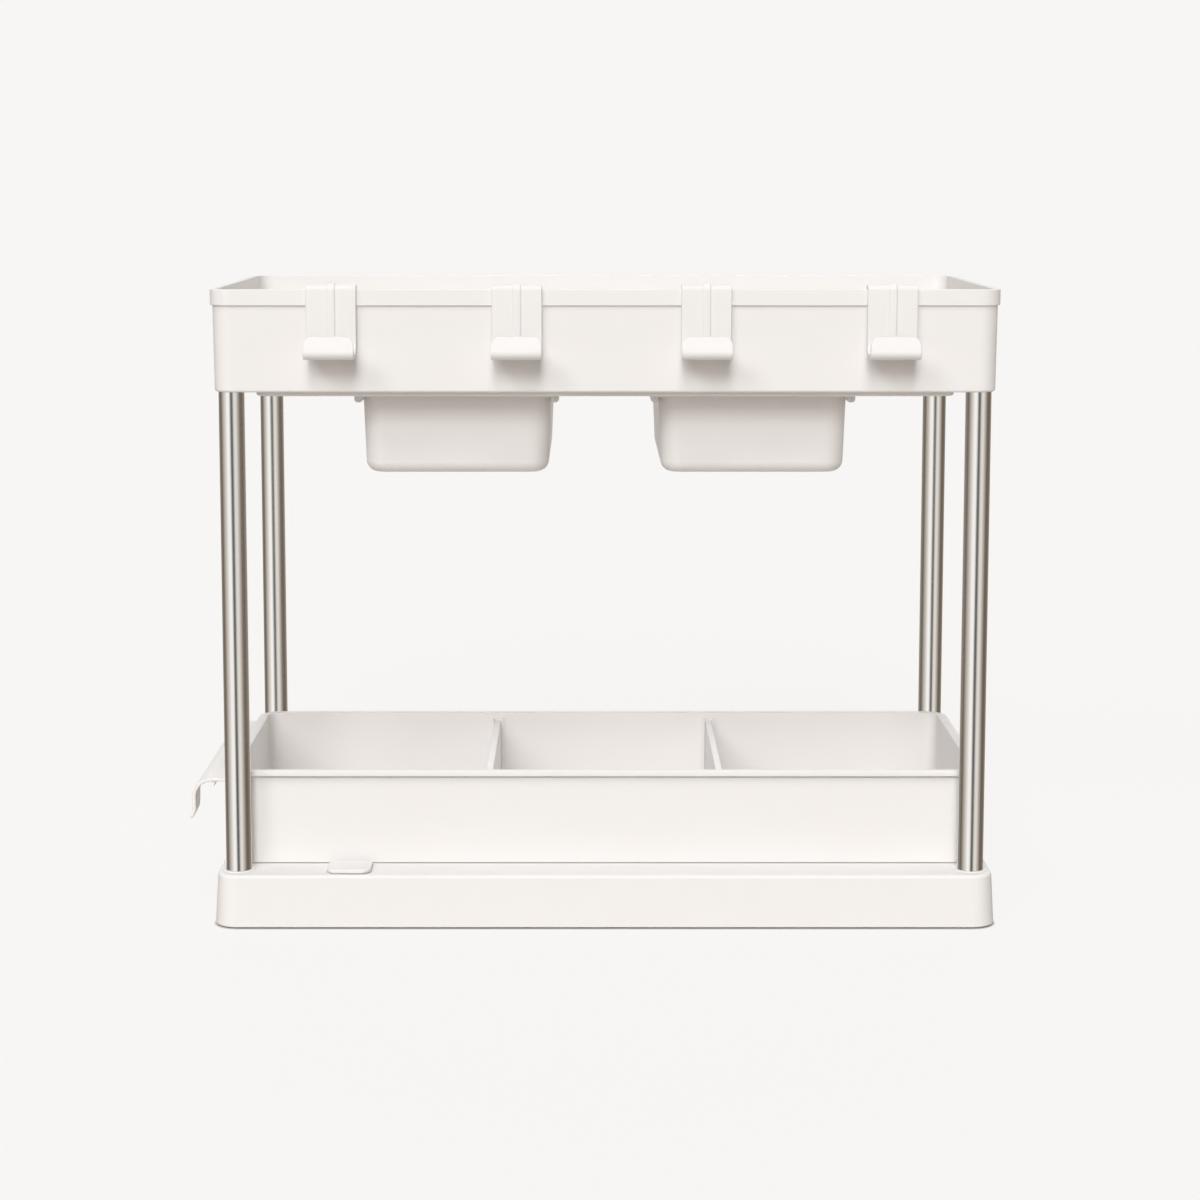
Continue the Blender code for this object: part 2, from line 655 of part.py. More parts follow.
def runner_places():
    """Name, bin middle and side of each of the four runners."""
    for bin_name, bin_side in (("left", -1), ("right", 1)):
        for rail_name, rail_side in (("left", -1), ("right", 1)):
            yield f"{bin_name}_bin_runner_{rail_name}", bin_side * BIN_SPACING / 2, rail_side


def make_tray(base):
    """The upper tray, with tube sockets in its corners and slots for the runners' tongues."""
    tray = add_piece("upper_tray", tray_shell(), WHITE_PLASTIC, parent=base)
    boss_top = TRAY_SOCKET_CEILING + SOCKET_CAP
    boss_radius = SOCKET_RADIUS + SOCKET_WALL
    boss_bottom = TRAY_BOTTOM + TRAY_FLOOR / 2
    profile = [(0, boss_bottom), (boss_radius, boss_bottom), (boss_radius, boss_top - SOCKET_WALL)]
    profile += [(boss_radius - SOCKET_WALL, boss_top), (0, boss_top)]
    fuse(tray, merge([turned(profile, place) for _, place in tube_places()]), "bosses")
    low = PANEL_BOTTOM - CUT_OVERRUN
    holes = [cylinder(SOCKET_RADIUS, low, TRAY_SOCKET_CEILING, place) for _, place in tube_places()]
    cut(tray, merge(holes), "sockets")
    slots = []
    for _, middle_x, side in runner_places():
        slots += list(tongue_boxes(middle_x, side, SEAT_GAP))
    cut(tray, merge(slots), "runner_slots")
    return tray


def make_runners(tray):
    """Four L-shaped runners, held under the tray's panel by tongues."""
    front, back = runner_span()
    inner, outer = runner_faces()
    low = runner_bottom()
    foot_top = low + RUNNER_FOOT_THICKNESS
    foot_inner = BIN_HALF_WIDTH + RUNNER_FOOT_GAP
    top = PANEL_BOTTOM - SEAT_GAP
    profile = [(foot_inner, low), (outer - RUNNER_CHAMFER, low), (outer, low + RUNNER_CHAMFER), (outer, top)]
    profile += [(inner, top), (inner, foot_top), (foot_inner, foot_top)]
    for name, middle_x, side in runner_places():
        outline = [(middle_x + side * a, b) for a, b in profile]
        rail = prism(outline, front, back, lambda a, b, c: (a, c, b))
        runner = add_piece(name, rail, WHITE_PLASTIC, parent=tray)
        fuse(runner, merge(tongue_boxes(middle_x, side)), "tongues")


def bin_shell():
    """One bin about its own middle, with its top at zero: flange, drafted walls and a well rounded foot."""
    half_x = BIN_HALF_WIDTH
    half_y = BIN_DEPTH / 2 - BIN_FLANGE_WIDTH
    radius = BIN_CORNER_RADIUS - BIN_FLANGE_WIDTH
    bottom = -BIN_HEIGHT
    rings = []

    def add(inset, z):
        rings.append(rounded_ring(half_x - inset, half_y - inset, max(radius - inset, BIN_WALL), z))

    for across, up in quarter(2 * EDGE_STEPS):
        add(BIN_DRAFT + BIN_FOOT_RADIUS * (1 - across), bottom + BIN_FOOT_RADIUS * up)
    add(0, -BIN_FLANGE_THICKNESS)
    add(-BIN_FLANGE_WIDTH + BIN_FLANGE_EDGE, -BIN_FLANGE_THICKNESS)
    add(-BIN_FLANGE_WIDTH, -BIN_FLANGE_THICKNESS + BIN_FLANGE_EDGE)
    add(-BIN_FLANGE_WIDTH, -BIN_FLANGE_EDGE)
    add(-BIN_FLANGE_WIDTH + BIN_FLANGE_EDGE, 0)
    add(BIN_WALL - BIN_FLANGE_EDGE, 0)
    add(BIN_WALL, -BIN_FLANGE_EDGE)
    inner_radius = BIN_FOOT_RADIUS - BIN_WALL
    for across, up in quarter(2 * EDGE_STEPS):
        inset = BIN_WALL + BIN_DRAFT + inner_radius * up
        add(inset, bottom + BIN_WALL + inner_radius * (1 - across))
    return loft(rings)


def make_bins(tray):
    """Two bins that slide forward, each with wings that stop against the runners' front ends."""
    half = BIN_HALF_WIDTH + BIN_FLANGE_WIDTH + WING_OVERHANG
    outline = [(-half + WING_TAPER, -BIN_FLANGE_THICKNESS), (half - WING_TAPER, -BIN_FLANGE_THICKNESS)]
    outline += [(half, -BIN_FLANGE_THICKNESS / 2), (half, 0), (-half, 0), (-half, -BIN_FLANGE_THICKNESS / 2)]
    front = -BIN_DEPTH / 2
    for name, side in (("left", -1), ("right", 1)):
        place = (side * BIN_SPACING / 2, BIN_CENTRE_Y, BIN_TOP)
        tub = add_piece(f"{name}_bin", bin_shell(), WHITE_PLASTIC, place, tray)
        fuse(tub, prism(outline, front, front + WING_DEPTH, lambda a, b, c: (a, c, b)), "wings")


def drawer_inset(height):
    """How far the drawer's walls lean in at a height above its underside."""
    return (DRAWER_HEIGHT - height) * DRAWER_TAPER_SHARE


def drawer_shell():
    """The drawer's box above its own underside: rounded foot, drafted walls and a flat rim."""
    half_x, half_y, radius = DRAWER_BODY_HALF_X, DRAWER_BODY_HALF_Y, DRAWER_BODY_RADIUS
    rim_under = DRAWER_HEIGHT - DRAWER_RIM_THICKNESS
    rings = []

    def add(inset, z):
        rings.append(rounded_ring(half_x - inset, half_y - inset, radius - inset, z))

    for across, up in quarter():
        add(DRAWER_DRAFT + DRAWER_FOOT_RADIUS * (1 - across), DRAWER_FOOT_RADIUS * up)
    add(drawer_inset(rim_under), rim_under)
    add(-DRAWER_RIM_OVERHANG + DRAWER_RIM_EDGE, rim_under)
    add(-DRAWER_RIM_OVERHANG, rim_under + DRAWER_RIM_EDGE)
    add(-DRAWER_RIM_OVERHANG, DRAWER_HEIGHT - DRAWER_RIM_EDGE)
    add(-DRAWER_RIM_OVERHANG + DRAWER_RIM_EDGE, DRAWER_HEIGHT)
    add(DRAWER_WALL - DRAWER_RIM_EDGE, DRAWER_HEIGHT)
    add(DRAWER_WALL, DRAWER_HEIGHT - DRAWER_RIM_EDGE)
    for across, up in quarter():
        inset = DRAWER_WALL + DRAWER_DRAFT + DRAWER_FLOOR * up
        add(inset, DRAWER_FLOOR + DRAWER_FLOOR * (1 - across))
    return loft(rings)


def guide_boxes():
    """Pairs of upright guides on the drawer's front and back walls, one pair at each end of a divider."""
    half_gap = DIVIDER_THICKNESS / 2 + SEAT_GAP
    wall = DRAWER_BODY_HALF_Y - DRAWER_WALL / 2
    proud = DRAWER_BODY_HALF_Y - DRAWER_WALL - DRAWER_DRAFT - GUIDE_PROUD
    top = DRAWER_HEIGHT - GUIDE_TOP_DROP
    for middle_x in (-DIVIDER_SPACING / 2, DIVIDER_SPACING / 2):
        for side in (-1, 1):
            edge = middle_x + side * half_gap
            low_x, high_x = sorted((edge, edge + side * GUIDE_THICKNESS))
            yield box((low_x, -wall, DRAWER_FLOOR / 2), (high_x, -proud, top))
            yield box((low_x, proud, DRAWER_FLOOR / 2), (high_x, wall, top))


def catch_level():
    """Height of the handle's catches above the drawer's underside."""
    return DRAWER_HEIGHT - HANDLE_TOP_DROP - HANDLE_THICKNESS / 2 - HANDLE_PLATE_HEIGHT + CATCH_RISE


def catch_boxes(grow=0):
    """The handle's catches through the drawer's end wall, or their windows where grow is the clearance."""
    level = catch_level()
    outer = -DRAWER_BODY_HALF_X - SEAT_GAP - HANDLE_THICKNESS / 2
    inner = -DRAWER_BODY_HALF_X + DRAWER_WALL + DRAWER_DRAFT + CATCH_HOOK + grow
    half_y, half_z = CATCH_WIDTH / 2 + grow, CATCH_THICKNESS / 2 + grow
    for side in (-1, 1):
        y = side * CATCH_SPACING / 2
        yield box((outer, y - half_y, level - half_z), (inner, y + half_y, level + half_z))


def make_drawer(base):
    """The long drawer, with divider guides and windows for the handle's catches."""
    drawer = add_piece("drawer", drawer_shell(), WHITE_PLASTIC, (0, 0, DRAWER_BOTTOM), base)
    fuse(drawer, merge(guide_boxes()), "divider_guides")
    cut(drawer, merge(catch_boxes(SEAT_GAP)), "catch_windows")
    return drawer


def make_dividers(drawer):
    """Two dividers that drop between the guides."""
    low = DRAWER_FLOOR + SEAT_GAP
    high = DRAWER_HEIGHT - DIVIDER_TOP_DROP

    def half_span(height):
        return DRAWER_BODY_HALF_Y - DRAWER_WALL - DIVIDER_SIDE_GAP - drawer_inset(height)

    top, bottom = half_span(high), half_span(low)
    corners = ((-bottom, low, DIVIDER_CORNER), (bottom, low, DIVIDER_CORNER))
    outline = arc_outline(corners + ((top, high, DIVIDER_EDGE), (-top, high, DIVIDER_EDGE)))
    half = DIVIDER_THICKNESS / 2
    middle = (low + high) / 2
    full = half - DIVIDER_EDGE
    rings = []
    for x, inset in ((-half, DIVIDER_EDGE), (-full, 0), (full, 0), (half, DIVIDER_EDGE)):
        share_y, share_z = 1 - inset / top, 1 - 2 * inset / (high - low)
        rings.append([Vector((x, y * share_y, middle + (z - middle) * share_z)) for y, z in outline])
    for name, side in (("left", -1), ("right", 1)):
        add_piece(f"{name}_divider", loft(rings), WHITE_PLASTIC, (side * DIVIDER_SPACING / 2, 0, 0), drawer)


def handle_stations():
    """Middle line of the handle: up its plate, out under the rim, and down its rolled lip."""
    plate_x = -DRAWER_BODY_HALF_X - SEAT_GAP - HANDLE_THICKNESS / 2
    shelf_z = DRAWER_HEIGHT - HANDLE_TOP_DROP - HANDLE_THICKNESS / 2
    shelf = HANDLE_REACH - HANDLE_ROOT_RADIUS - HANDLE_ROLL_RADIUS
    right_angle = math.pi / 2
    legs = [(HANDLE_PLATE_HEIGHT - HANDLE_ROOT_RADIUS, 0, 1)]
    legs.append((HANDLE_ROOT_RADIUS * right_angle, right_angle, EDGE_STEPS))
    legs.append((shelf, 0, 1))
    legs.append((HANDLE_ROLL_RADIUS * right_angle, right_angle, 2 * PLAN_STEPS))
    legs.append((HANDLE_LIP_LENGTH, 0, 1))
    legs.append((HANDLE_FLARE_RADIUS * HANDLE_FLARE_ANGLE, -HANDLE_FLARE_ANGLE, EDGE_STEPS))
    legs.append((HANDLE_FLARE_LENGTH, 0, 1))
    return walk((plate_x, shelf_z - HANDLE_PLATE_HEIGHT), right_angle, legs)


def arch_cutter(half_span):
    """The opening between the handle's two ears, with rounded upper corners."""
    shelf_z = DRAWER_HEIGHT - HANDLE_TOP_DROP
    top = shelf_z - HANDLE_ARCH_DROP
    bottom = shelf_z - HANDLE_ROLL_RADIUS - HANDLE_LIP_LENGTH - 2 * HANDLE_FLARE_LENGTH - CUT_OVERRUN
    half = half_span - HANDLE_EAR_WIDTH
    foot = half + HANDLE_ARCH_RADIUS
    knee = bottom + HANDLE_FLARE_LENGTH + HANDLE_ARCH_RADIUS
    corners = ((-foot, bottom, 0), (foot, bottom, 0), (half, knee, 0))
    corners += ((half, top, HANDLE_ARCH_RADIUS / 2), (-half, top, HANDLE_ARCH_RADIUS / 2), (-half, knee, 0))
    low = -DRAWER_BODY_HALF_X - 2 * HANDLE_REACH
    return prism(arc_outline(corners), low, -DRAWER_BODY_HALF_X - HANDLE_REACH / 2, lambda a, b, c: (c, a, b))


def make_handle(drawer):
    """The drawer's pull: a plate clipped under the rim, a shelf, and a rolled lip between two ears."""
    stations = handle_stations()
    half_span = DRAWER_DEPTH / 2 - HANDLE_SIDE_MARGIN
    section = strip_section(half_span, HANDLE_THICKNESS, HANDLE_EDGE)
    across = Vector((0, -1, 0))
    shape = sweep(stations, [section] * len(stations), across, lambda p: Vector((p.x, 0, p.y)))
    handle = add_piece("drawer_handle", shape, WHITE_PLASTIC, parent=drawer)
    under = DRAWER_HEIGHT - HANDLE_TOP_DROP - HANDLE_THICKNESS
    bead_x = -DRAWER_BODY_HALF_X - BEAD_SETBACK
    sunk = under + HANDLE_THICKNESS / 2
    bead = [(bead_x, under - BEAD_DEPTH), (bead_x + BEAD_WIDTH / 2, sunk), (bead_x - BEAD_WIDTH / 2, sunk)]
    inset = half_span - HANDLE_EDGE
    fuse(handle, prism(bead, -inset, inset, lambda a, b, c: (a, c, b)), "bead")
    cut(handle, arch_cutter(half_span), "arch")
    fuse(handle, merge(catch_boxes()), "catches")


def hook_foot():
    """Legs of a hook's lower end: the bowl, its floor, the toe, and the lip that leans back to the tray."""
    floor = HOOK_REACH - (HOOK_THICKNESS + HOOK_LIP_THICKNESS) / 2 - HOOK_BOWL_RADIUS - HOOK_TOE_RADIUS
    bowl_turn = math.pi / 2
    toe_turn = bowl_turn + HOOK_LIP_LEAN
    legs = [(HOOK_BOWL_RADIUS * bowl_turn, -bowl_turn, PLAN_STEPS), (floor, 0, 1)]
    legs.append((HOOK_TOE_RADIUS * toe_turn, -toe_turn, PLAN_STEPS))
    legs.append((HOOK_LIP_LENGTH - HOOK_LIP_CORNER_LENGTH, 0, 1))
    legs.append((HOOK_LIP_CORNER_LENGTH, 0, PLAN_STEPS + EDGE_STEPS))
    return legs


def hook_stations():
    """Middle line of a hook: up behind the rim, over it, down the front, and along its lower end."""
    half = HOOK_THICKNESS / 2
    rim_width = RIM_BAND_PROUD + TRAY_WALL
    inner_y = rim_width + SEAT_GAP + half
    top_z = SEAT_GAP + half
    quarter_bend = HOOK_BEND_RADIUS * math.pi / 2
    over = rim_width + 2 * (SEAT_GAP + half) - 2 * HOOK_BEND_RADIUS
    drop = HOOK_HEIGHT - HOOK_THICKNESS - HOOK_BEND_RADIUS - HOOK_BOWL_RADIUS
    legs = [(HOOK_INNER_LEG + SEAT_GAP, 0, 1), (quarter_bend, math.pi / 2, EDGE_STEPS), (over, 0, 1)]
    legs += [(quarter_bend, math.pi / 2, EDGE_STEPS), (drop, 0, 1)] + hook_foot()
    start = (inner_y, top_z - HOOK_BEND_RADIUS - HOOK_INNER_LEG - SEAT_GAP)
    return walk(start, math.pi / 2, legs)


def hook_sections(stations):
    """Section of a hook at each station: the rib fades out in the bowl and the lip rounds off at its end."""
    total = stations[-1][2]
    bowl_start = total - sum(length for length, _, _ in hook_foot())
    rib_start = HOOK_INNER_LEG
    sections = []
    for _, _, gone in stations:
        left = total - gone
        half_width = HOOK_WIDTH / 2
        if left < HOOK_LIP_CORNER_LENGTH:
            inward = 1 - left / HOOK_LIP_CORNER_LENGTH
            half_width -= HOOK_LIP_CORNER_WIDTH * (1 - math.sqrt(1 - inward ** 2))
        share = min(max((gone - bowl_start) / (total - bowl_start), 0), 1)
        thickness = HOOK_THICKNESS + share * (HOOK_LIP_THICKNESS - HOOK_THICKNESS)
        if left < thickness / 2:
            inward = 1 - 2 * left / thickness
            thickness *= max(math.sqrt(1 - inward ** 2), HOOK_TIP_SHARE)
        height = HOOK_RIB_HEIGHT * (1 - share) if gone >= rib_start else 0
        rib = (HOOK_RIB_WIDTH / 2, height, HOOK_RIB_SLOPE)
        sections.append(strip_section(half_width, thickness, HOOK_EDGE, rib))
    return sections


def make_hooks(tray):
    """Four hooks over the front rim."""
    stations = hook_stations()
    sections = hook_sections(stations)
    across = Vector((1, 0, 0))
    for index, share in enumerate(HOOK_PLACE_SHARES, start=1):
        shape = sweep(stations, sections, across, lambda p: Vector((0, p.x, p.y)))
        place = (share * TRAY_LENGTH, -TRAY_DEPTH / 2, OVERALL_HEIGHT)
        add_piece(f"hook_{index}", shape, WHITE_PLASTIC, place, tray)


def main():
    """Build every piece in the order in which the organizer goes together."""
    clear_scene()
    base = make_base()
    make_pads(base)
    make_tab(base)
    make_tubes(base)
    tray = make_tray(base)
    make_runners(tray)
    make_bins(tray)
    drawer = make_drawer(base)
    make_dividers(drawer)
    make_handle(drawer)
    make_hooks(tray)


main()
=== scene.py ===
"""Looks of the two-tier cabinet organizer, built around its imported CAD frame.

Metres. X runs along the length, Y from the front to the back and Z up, as in the CAD. Every visible
moulding is built again here with finer edges, from the box of the CAD node that it stands for.
"""

import logging
import math
from collections.abc import Iterable, Mapping, Sequence
from dataclasses import dataclass
from enum import Enum
from functools import cache, partialmethod

import bmesh
import bpy
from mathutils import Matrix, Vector


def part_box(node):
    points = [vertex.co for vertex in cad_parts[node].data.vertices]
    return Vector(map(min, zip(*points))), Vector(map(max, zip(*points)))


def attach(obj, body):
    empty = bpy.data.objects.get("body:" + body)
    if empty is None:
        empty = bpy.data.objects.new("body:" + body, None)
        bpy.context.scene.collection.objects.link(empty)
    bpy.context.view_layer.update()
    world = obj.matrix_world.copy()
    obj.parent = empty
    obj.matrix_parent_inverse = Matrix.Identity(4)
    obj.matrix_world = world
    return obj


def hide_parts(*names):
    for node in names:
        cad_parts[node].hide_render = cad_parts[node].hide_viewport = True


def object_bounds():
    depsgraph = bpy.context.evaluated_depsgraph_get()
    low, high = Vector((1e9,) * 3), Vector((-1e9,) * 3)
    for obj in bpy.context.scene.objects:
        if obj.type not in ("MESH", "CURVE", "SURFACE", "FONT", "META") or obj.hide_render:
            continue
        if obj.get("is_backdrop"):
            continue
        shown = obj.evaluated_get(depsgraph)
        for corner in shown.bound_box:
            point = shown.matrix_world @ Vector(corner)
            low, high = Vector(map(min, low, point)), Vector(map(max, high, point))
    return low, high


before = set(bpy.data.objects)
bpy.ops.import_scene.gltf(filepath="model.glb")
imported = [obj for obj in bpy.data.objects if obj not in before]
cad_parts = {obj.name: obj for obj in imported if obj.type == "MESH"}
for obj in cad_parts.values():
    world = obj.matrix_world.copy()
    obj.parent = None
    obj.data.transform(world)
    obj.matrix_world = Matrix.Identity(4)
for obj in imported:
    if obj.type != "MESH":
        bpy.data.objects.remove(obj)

# Chords of a plan's corner, of an eased edge and of a full turn
CORNER_STEPS = 10
EDGE_STEPS = 4
TURN_STEPS = 72
QUARTER_TURN = math.pi / 2
SMOOTH_ANGLE = math.radians(34)
# Clearance between pieces that seat on each other, and how far a cut runs past what it cuts
SEAT_GAP = 0.0003
CUT_OVERRUN = 0.0010
# How many radii, or walls, a profile runs on beside a rounding
LEAD_IN = 2.0
SHORT_LEAD_IN = 1.5
LONG_LEAD_IN = 3.0
# The most of a half thickness that an eased edge takes
EDGE_SHARE = 0.8

CAD_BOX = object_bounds()
log = logging.getLogger("organizer")

Colour = tuple[float, float, float]
Pair = tuple[float, float]
Triple = tuple[float, float, float]
Settings = Mapping[str, object]
Sockets = Mapping[object, object]


class Merge(Enum):
    """How a helper shape changes a piece."""

    CUT = "DIFFERENCE"
    FUSE = "UNION"


class Slot(Enum):
    """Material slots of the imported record."""

    PLASTIC = "white_plastic"
    STEEL = "brushed_steel"
    RUBBER = "grey_rubber"


class Body(Enum):
    """CAD bodies that pieces ride on."""

    STAND = "stand"
    DRAWER = "drawer"
    LEFT_DIVIDER = "left_divider"
    RIGHT_DIVIDER = "right_divider"
    LEFT_BIN = "left_bin"
    RIGHT_BIN = "right_bin"
    HOOK_1 = "hook_1"
    HOOK_2 = "hook_2"
    HOOK_3 = "hook_3"
    HOOK_4 = "hook_4"


class Axis(Enum):
    """Axis of an extrusion: in what order its level and the section's coordinates make a point."""

    X = (0, 1, 2)
    Y = (1, 0, 2)
    Z = (1, 2, 0)


class Value:
    """A shader socket in arithmetic: each operator adds a Math node."""

    def __init__(self, graph: "Graph", socket: bpy.types.NodeSocket) -> None:
        """Keep the graph and the socket."""
        self.graph = graph
        self.socket = socket

    def math(self, operation: str, other: object = 0.0) -> "Value":
        """The result of a Math node on this value and another."""
        return self.graph.value("ShaderNodeMath", {"operation": operation}, {0: self, 1: other})

    def reflected(self, operation: str, other: object) -> "Value":
        """The result with the other value first, such as 1 - mask."""
        return self.graph.value("ShaderNodeMath", {"operation": operation}, {0: other, 1: self})

    __add__, __radd__ = partialmethod(math, "ADD"), partialmethod(reflected, "ADD")
    __sub__, __rsub__ = partialmethod(math, "SUBTRACT"), partialmethod(reflected, "SUBTRACT")
    __mul__, __rmul__ = partialmethod(math, "MULTIPLY"), partialmethod(reflected, "MULTIPLY")
    __truediv__, __rtruediv__ = partialmethod(math, "DIVIDE"), partialmethod(reflected, "DIVIDE")


class Graph:
    """A material's or the world's node tree, emptied and ready to fill."""

    def __init__(self, tree: bpy.types.NodeTree) -> None:
        """Clear the tree."""
        tree.nodes.clear()
        self.tree = tree

    def node(self, kind: str, settings: Settings = {}, sockets: Sockets = {}) -> bpy.types.Node:
        """Add a node.

        Args:
            kind: the node's type.
            settings: its properties, and a ramp's stops under the name stops.
            sockets: values or links of its inputs, by name or number.

        Returns:
            The node.
        """
        made = self.tree.nodes.new(kind)
        for name, value in settings.items():
            if name != "stops":
                setattr(made, name, value)
                continue
            elements = made.color_ramp.elements
            for _ in value[len(elements):]:
                elements.new(1.0)
            for element, (position, colour) in zip(elements, value):
                element.position, element.color = position, (*colour, 1.0)
        for key, value in sockets.items():
            socket = made.inputs[key]
            source = value.socket if isinstance(value, Value) else value
            if isinstance(source, bpy.types.NodeSocket):
                self.tree.links.new(source, socket)
            elif isinstance(source, tuple) and socket.type == "RGBA":
                socket.default_value = (*source, 1.0)
            else:
                socket.default_value = source
        return made

    def value(self, kind: str, settings: Settings = {}, sockets: Sockets = {}, out: object = 0) -> Value:
        """Add a node and take one of its outputs, by name or number, for arithmetic."""
        return Value(self, self.node(kind, settings, sockets).outputs[out])

    def mix(self, share: object, first: object, second: object) -> Value:
        """Two colours mixed, where share is the part of the second."""
        return self.value("ShaderNodeMix", {"data_type": "RGBA"}, {0: share, 6: first, 7: second}, 2)

    def place(self) -> Value:
        """The piece's own coordinates, which move with it."""
        return self.value("ShaderNodeTexCoord", out="Object")

    def step(self, value: Value, start: float, end: float, low: float = 0.0, high: float = 1.0) -> Value:
        """A soft step from low to high while a value goes from start to end."""
        sockets = {"Value": value, "From Min": start, "From Max": end, "To Min": low, "To Max": high}
        return self.value("ShaderNodeMapRange", {"interpolation_type": "SMOOTHSTEP"}, sockets)

    def bump(self, height: Value, depth: float, strength: float) -> Value:
        """The normal of a height between 0 and 1, where 1 stands for a depth in metres."""
        sockets = {"Strength": strength, "Distance": depth, "Height": height}
        return self.value("ShaderNodeBump", {}, sockets, "Normal")


@dataclass(frozen=True)
class Noise:
    """Noise from 0 to 1: features to the metre, octaves, their strength and the scale of each axis."""

    scale: float
    detail: float = 2.0
    roughness: float = 0.5
    stretch: Triple = (1.0, 1.0, 1.0)

    def on(self, graph: Graph) -> Value:
        """Add the noise to a graph.

        Args:
            graph: the material's node tree.

        Returns:
            The noise, on the piece's own coordinates.
        """
        sockets = {0: graph.place(), 1: self.stretch}
        place = graph.value("ShaderNodeVectorMath", {"operation": "MULTIPLY"}, sockets)
        sockets = {"Vector": place, "Scale": self.scale, "Detail": self.detail, "Roughness": self.roughness}
        return graph.value("ShaderNodeTexNoise", {"noise_dimensions": "3D"}, sockets, "Fac")


class Finish:
    """A finish, whose subclasses have a name and give the inputs of the Principled shader."""

    name: str

    def inputs(self, graph: Graph) -> Sockets:
        """The shader's inputs."""
        raise NotImplementedError

    def material(self) -> bpy.types.Material:
        """Build the material.

        Returns:
            The material.
        """
        made = bpy.data.materials.new(self.name)
        made.use_nodes = True
        graph = Graph(made.node_tree)
        shader = graph.node("ShaderNodeBsdfPrincipled", {}, self.inputs(graph))
        graph.node("ShaderNodeOutputMaterial", {}, {"Surface": shader.outputs[0]})
        return made


@dataclass(frozen=True)
class MouldedPlastic(Finish):
    """Moulded polypropylene: satin, with a fine spark-eroded grain and faint, warmer flow shades."""

    name: str = "white_moulded_plastic"
    colour: Colour = (0.815, 0.788, 0.770)
    flow_colour: Colour = (0.800, 0.768, 0.746)
    flow: Noise = Noise(26.0, 3.0, stretch=(0.5, 0.8, 1.6))
    grain: Noise = Noise(2600.0, roughness=0.6)
    smear: Noise = Noise(60.0, 4.0, 0.6)
    roughness: float = 0.40
    roughness_spread: float = 0.10
    ior: float = 1.49
    grain_depth: float = 0.00004
    grain_strength: float = 0.35

    def inputs(self, graph: Graph) -> Sockets:
        """The shader's inputs.

        Args:
            graph: the material's node tree.

        Returns:
            The inputs' values and links.
        """
        grain, smear = self.grain.on(graph), self.smear.on(graph)
        spread = self.roughness_spread
        return {
            "Base Color": graph.mix(self.flow.on(graph), self.colour, self.flow_colour),
            "Roughness": self.roughness + (smear - 0.5) * spread + (grain - 0.5) * spread,
            "IOR": self.ior,
            "Normal": graph.bump(grain, self.grain_depth, self.grain_strength),
        }


@dataclass(frozen=True)
class BrushedSteel(Finish):
    """Stainless tube, drawn and brushed along its length: streaks in colour, gloss and height."""

    name: str = "brushed_stainless_steel"
    colour: Colour = (0.80, 0.785, 0.765)
    streak_colour: Colour = (0.70, 0.68, 0.655)
    streak: Noise = Noise(1500.0, roughness=0.6, stretch=(1.0, 1.0, 0.006))
    fine: Noise = Noise(5200.0, 1.0, stretch=(1.0, 1.0, 0.006))
    drift: Noise = Noise(70.0, stretch=(1.0, 1.0, 0.25))
    fine_share: float = 0.45
    roughness: float = 0.12
    roughness_spread: float = 0.10
    drift_spread: float = 0.05
    anisotropy: float = 0.85
    streak_depth: float = 0.00002
    streak_strength: float = 0.25

    def inputs(self, graph: Graph) -> Sockets:
        """The shader's inputs.

        Args:
            graph: the material's node tree.

        Returns:
            The inputs' values and links.
        """
        lines = self.streak.on(graph) * (1 - self.fine_share) + self.fine.on(graph) * self.fine_share
        drift = (self.drift.on(graph) - 0.5) * self.drift_spread
        return {
            "Base Color": graph.mix(lines, self.colour, self.streak_colour),
            "Metallic": 1.0,
            "Roughness": self.roughness + (lines - 0.5) * self.roughness_spread + drift,
            "Anisotropic": self.anisotropy,
            "Normal": graph.bump(lines, self.streak_depth, self.streak_strength),
        }


@dataclass(frozen=True)
class PadRubber(Finish):
    """Grey moulded rubber, dull and lightly scuffed."""

    name: str = "grey_pad_rubber"
    colour: Colour = (0.30, 0.30, 0.295)
    scuff_colour: Colour = (0.38, 0.38, 0.37)
    grain: Noise = Noise(1900.0, 3.0, 0.6)
    scuff: Noise = Noise(240.0, 3.0, 0.7)
    roughness: float = 0.78
    roughness_spread: float = 0.16
    grain_depth: float = 0.00006
    grain_strength: float = 0.5

    def inputs(self, graph: Graph) -> Sockets:
        """The shader's inputs.

        Args:
            graph: the material's node tree.

        Returns:
            The inputs' values and links.
        """
        grain, scuff = self.grain.on(graph), self.scuff.on(graph)
        return {
            "Base Color": graph.mix(scuff * scuff, self.colour, self.scuff_colour),
            "Roughness": self.roughness + (grain - 0.5) * self.roughness_spread,
            "Normal": graph.bump(grain, self.grain_depth, self.grain_strength),
        }


@cache
def material_of(slot: Slot) -> bpy.types.Material:
    """The material of a slot, made once."""
    return {Slot.PLASTIC: MouldedPlastic, Slot.STEEL: BrushedSteel, Slot.RUBBER: PadRubber}[slot]().material()


def dress(piece: bpy.types.Object, slot: Slot) -> None:
    """Give a piece the finish of a slot in place of its own materials.

    The steel mirrors the studio's panels and the other tubes, and no plastic.

    Args:
        piece: the object.
        slot: the record's slot that the finish belongs to.
    """
    if not piece.material_slots:
        piece.data.materials.append(None)
    for holder in piece.material_slots:
        holder.link = "OBJECT"
        holder.material = material_of(slot)
    piece.visible_glossy = slot is Slot.STEEL


def put(name: str, data: bpy.types.ID) -> bpy.types.Object:
    """Put a new object into the scene.

    Args:
        name: the object's name.
        data: its mesh, camera or lamp.

    Returns:
        The object.
    """
    made = bpy.data.objects.new(name, data)
    bpy.context.scene.collection.objects.link(made)
    return made


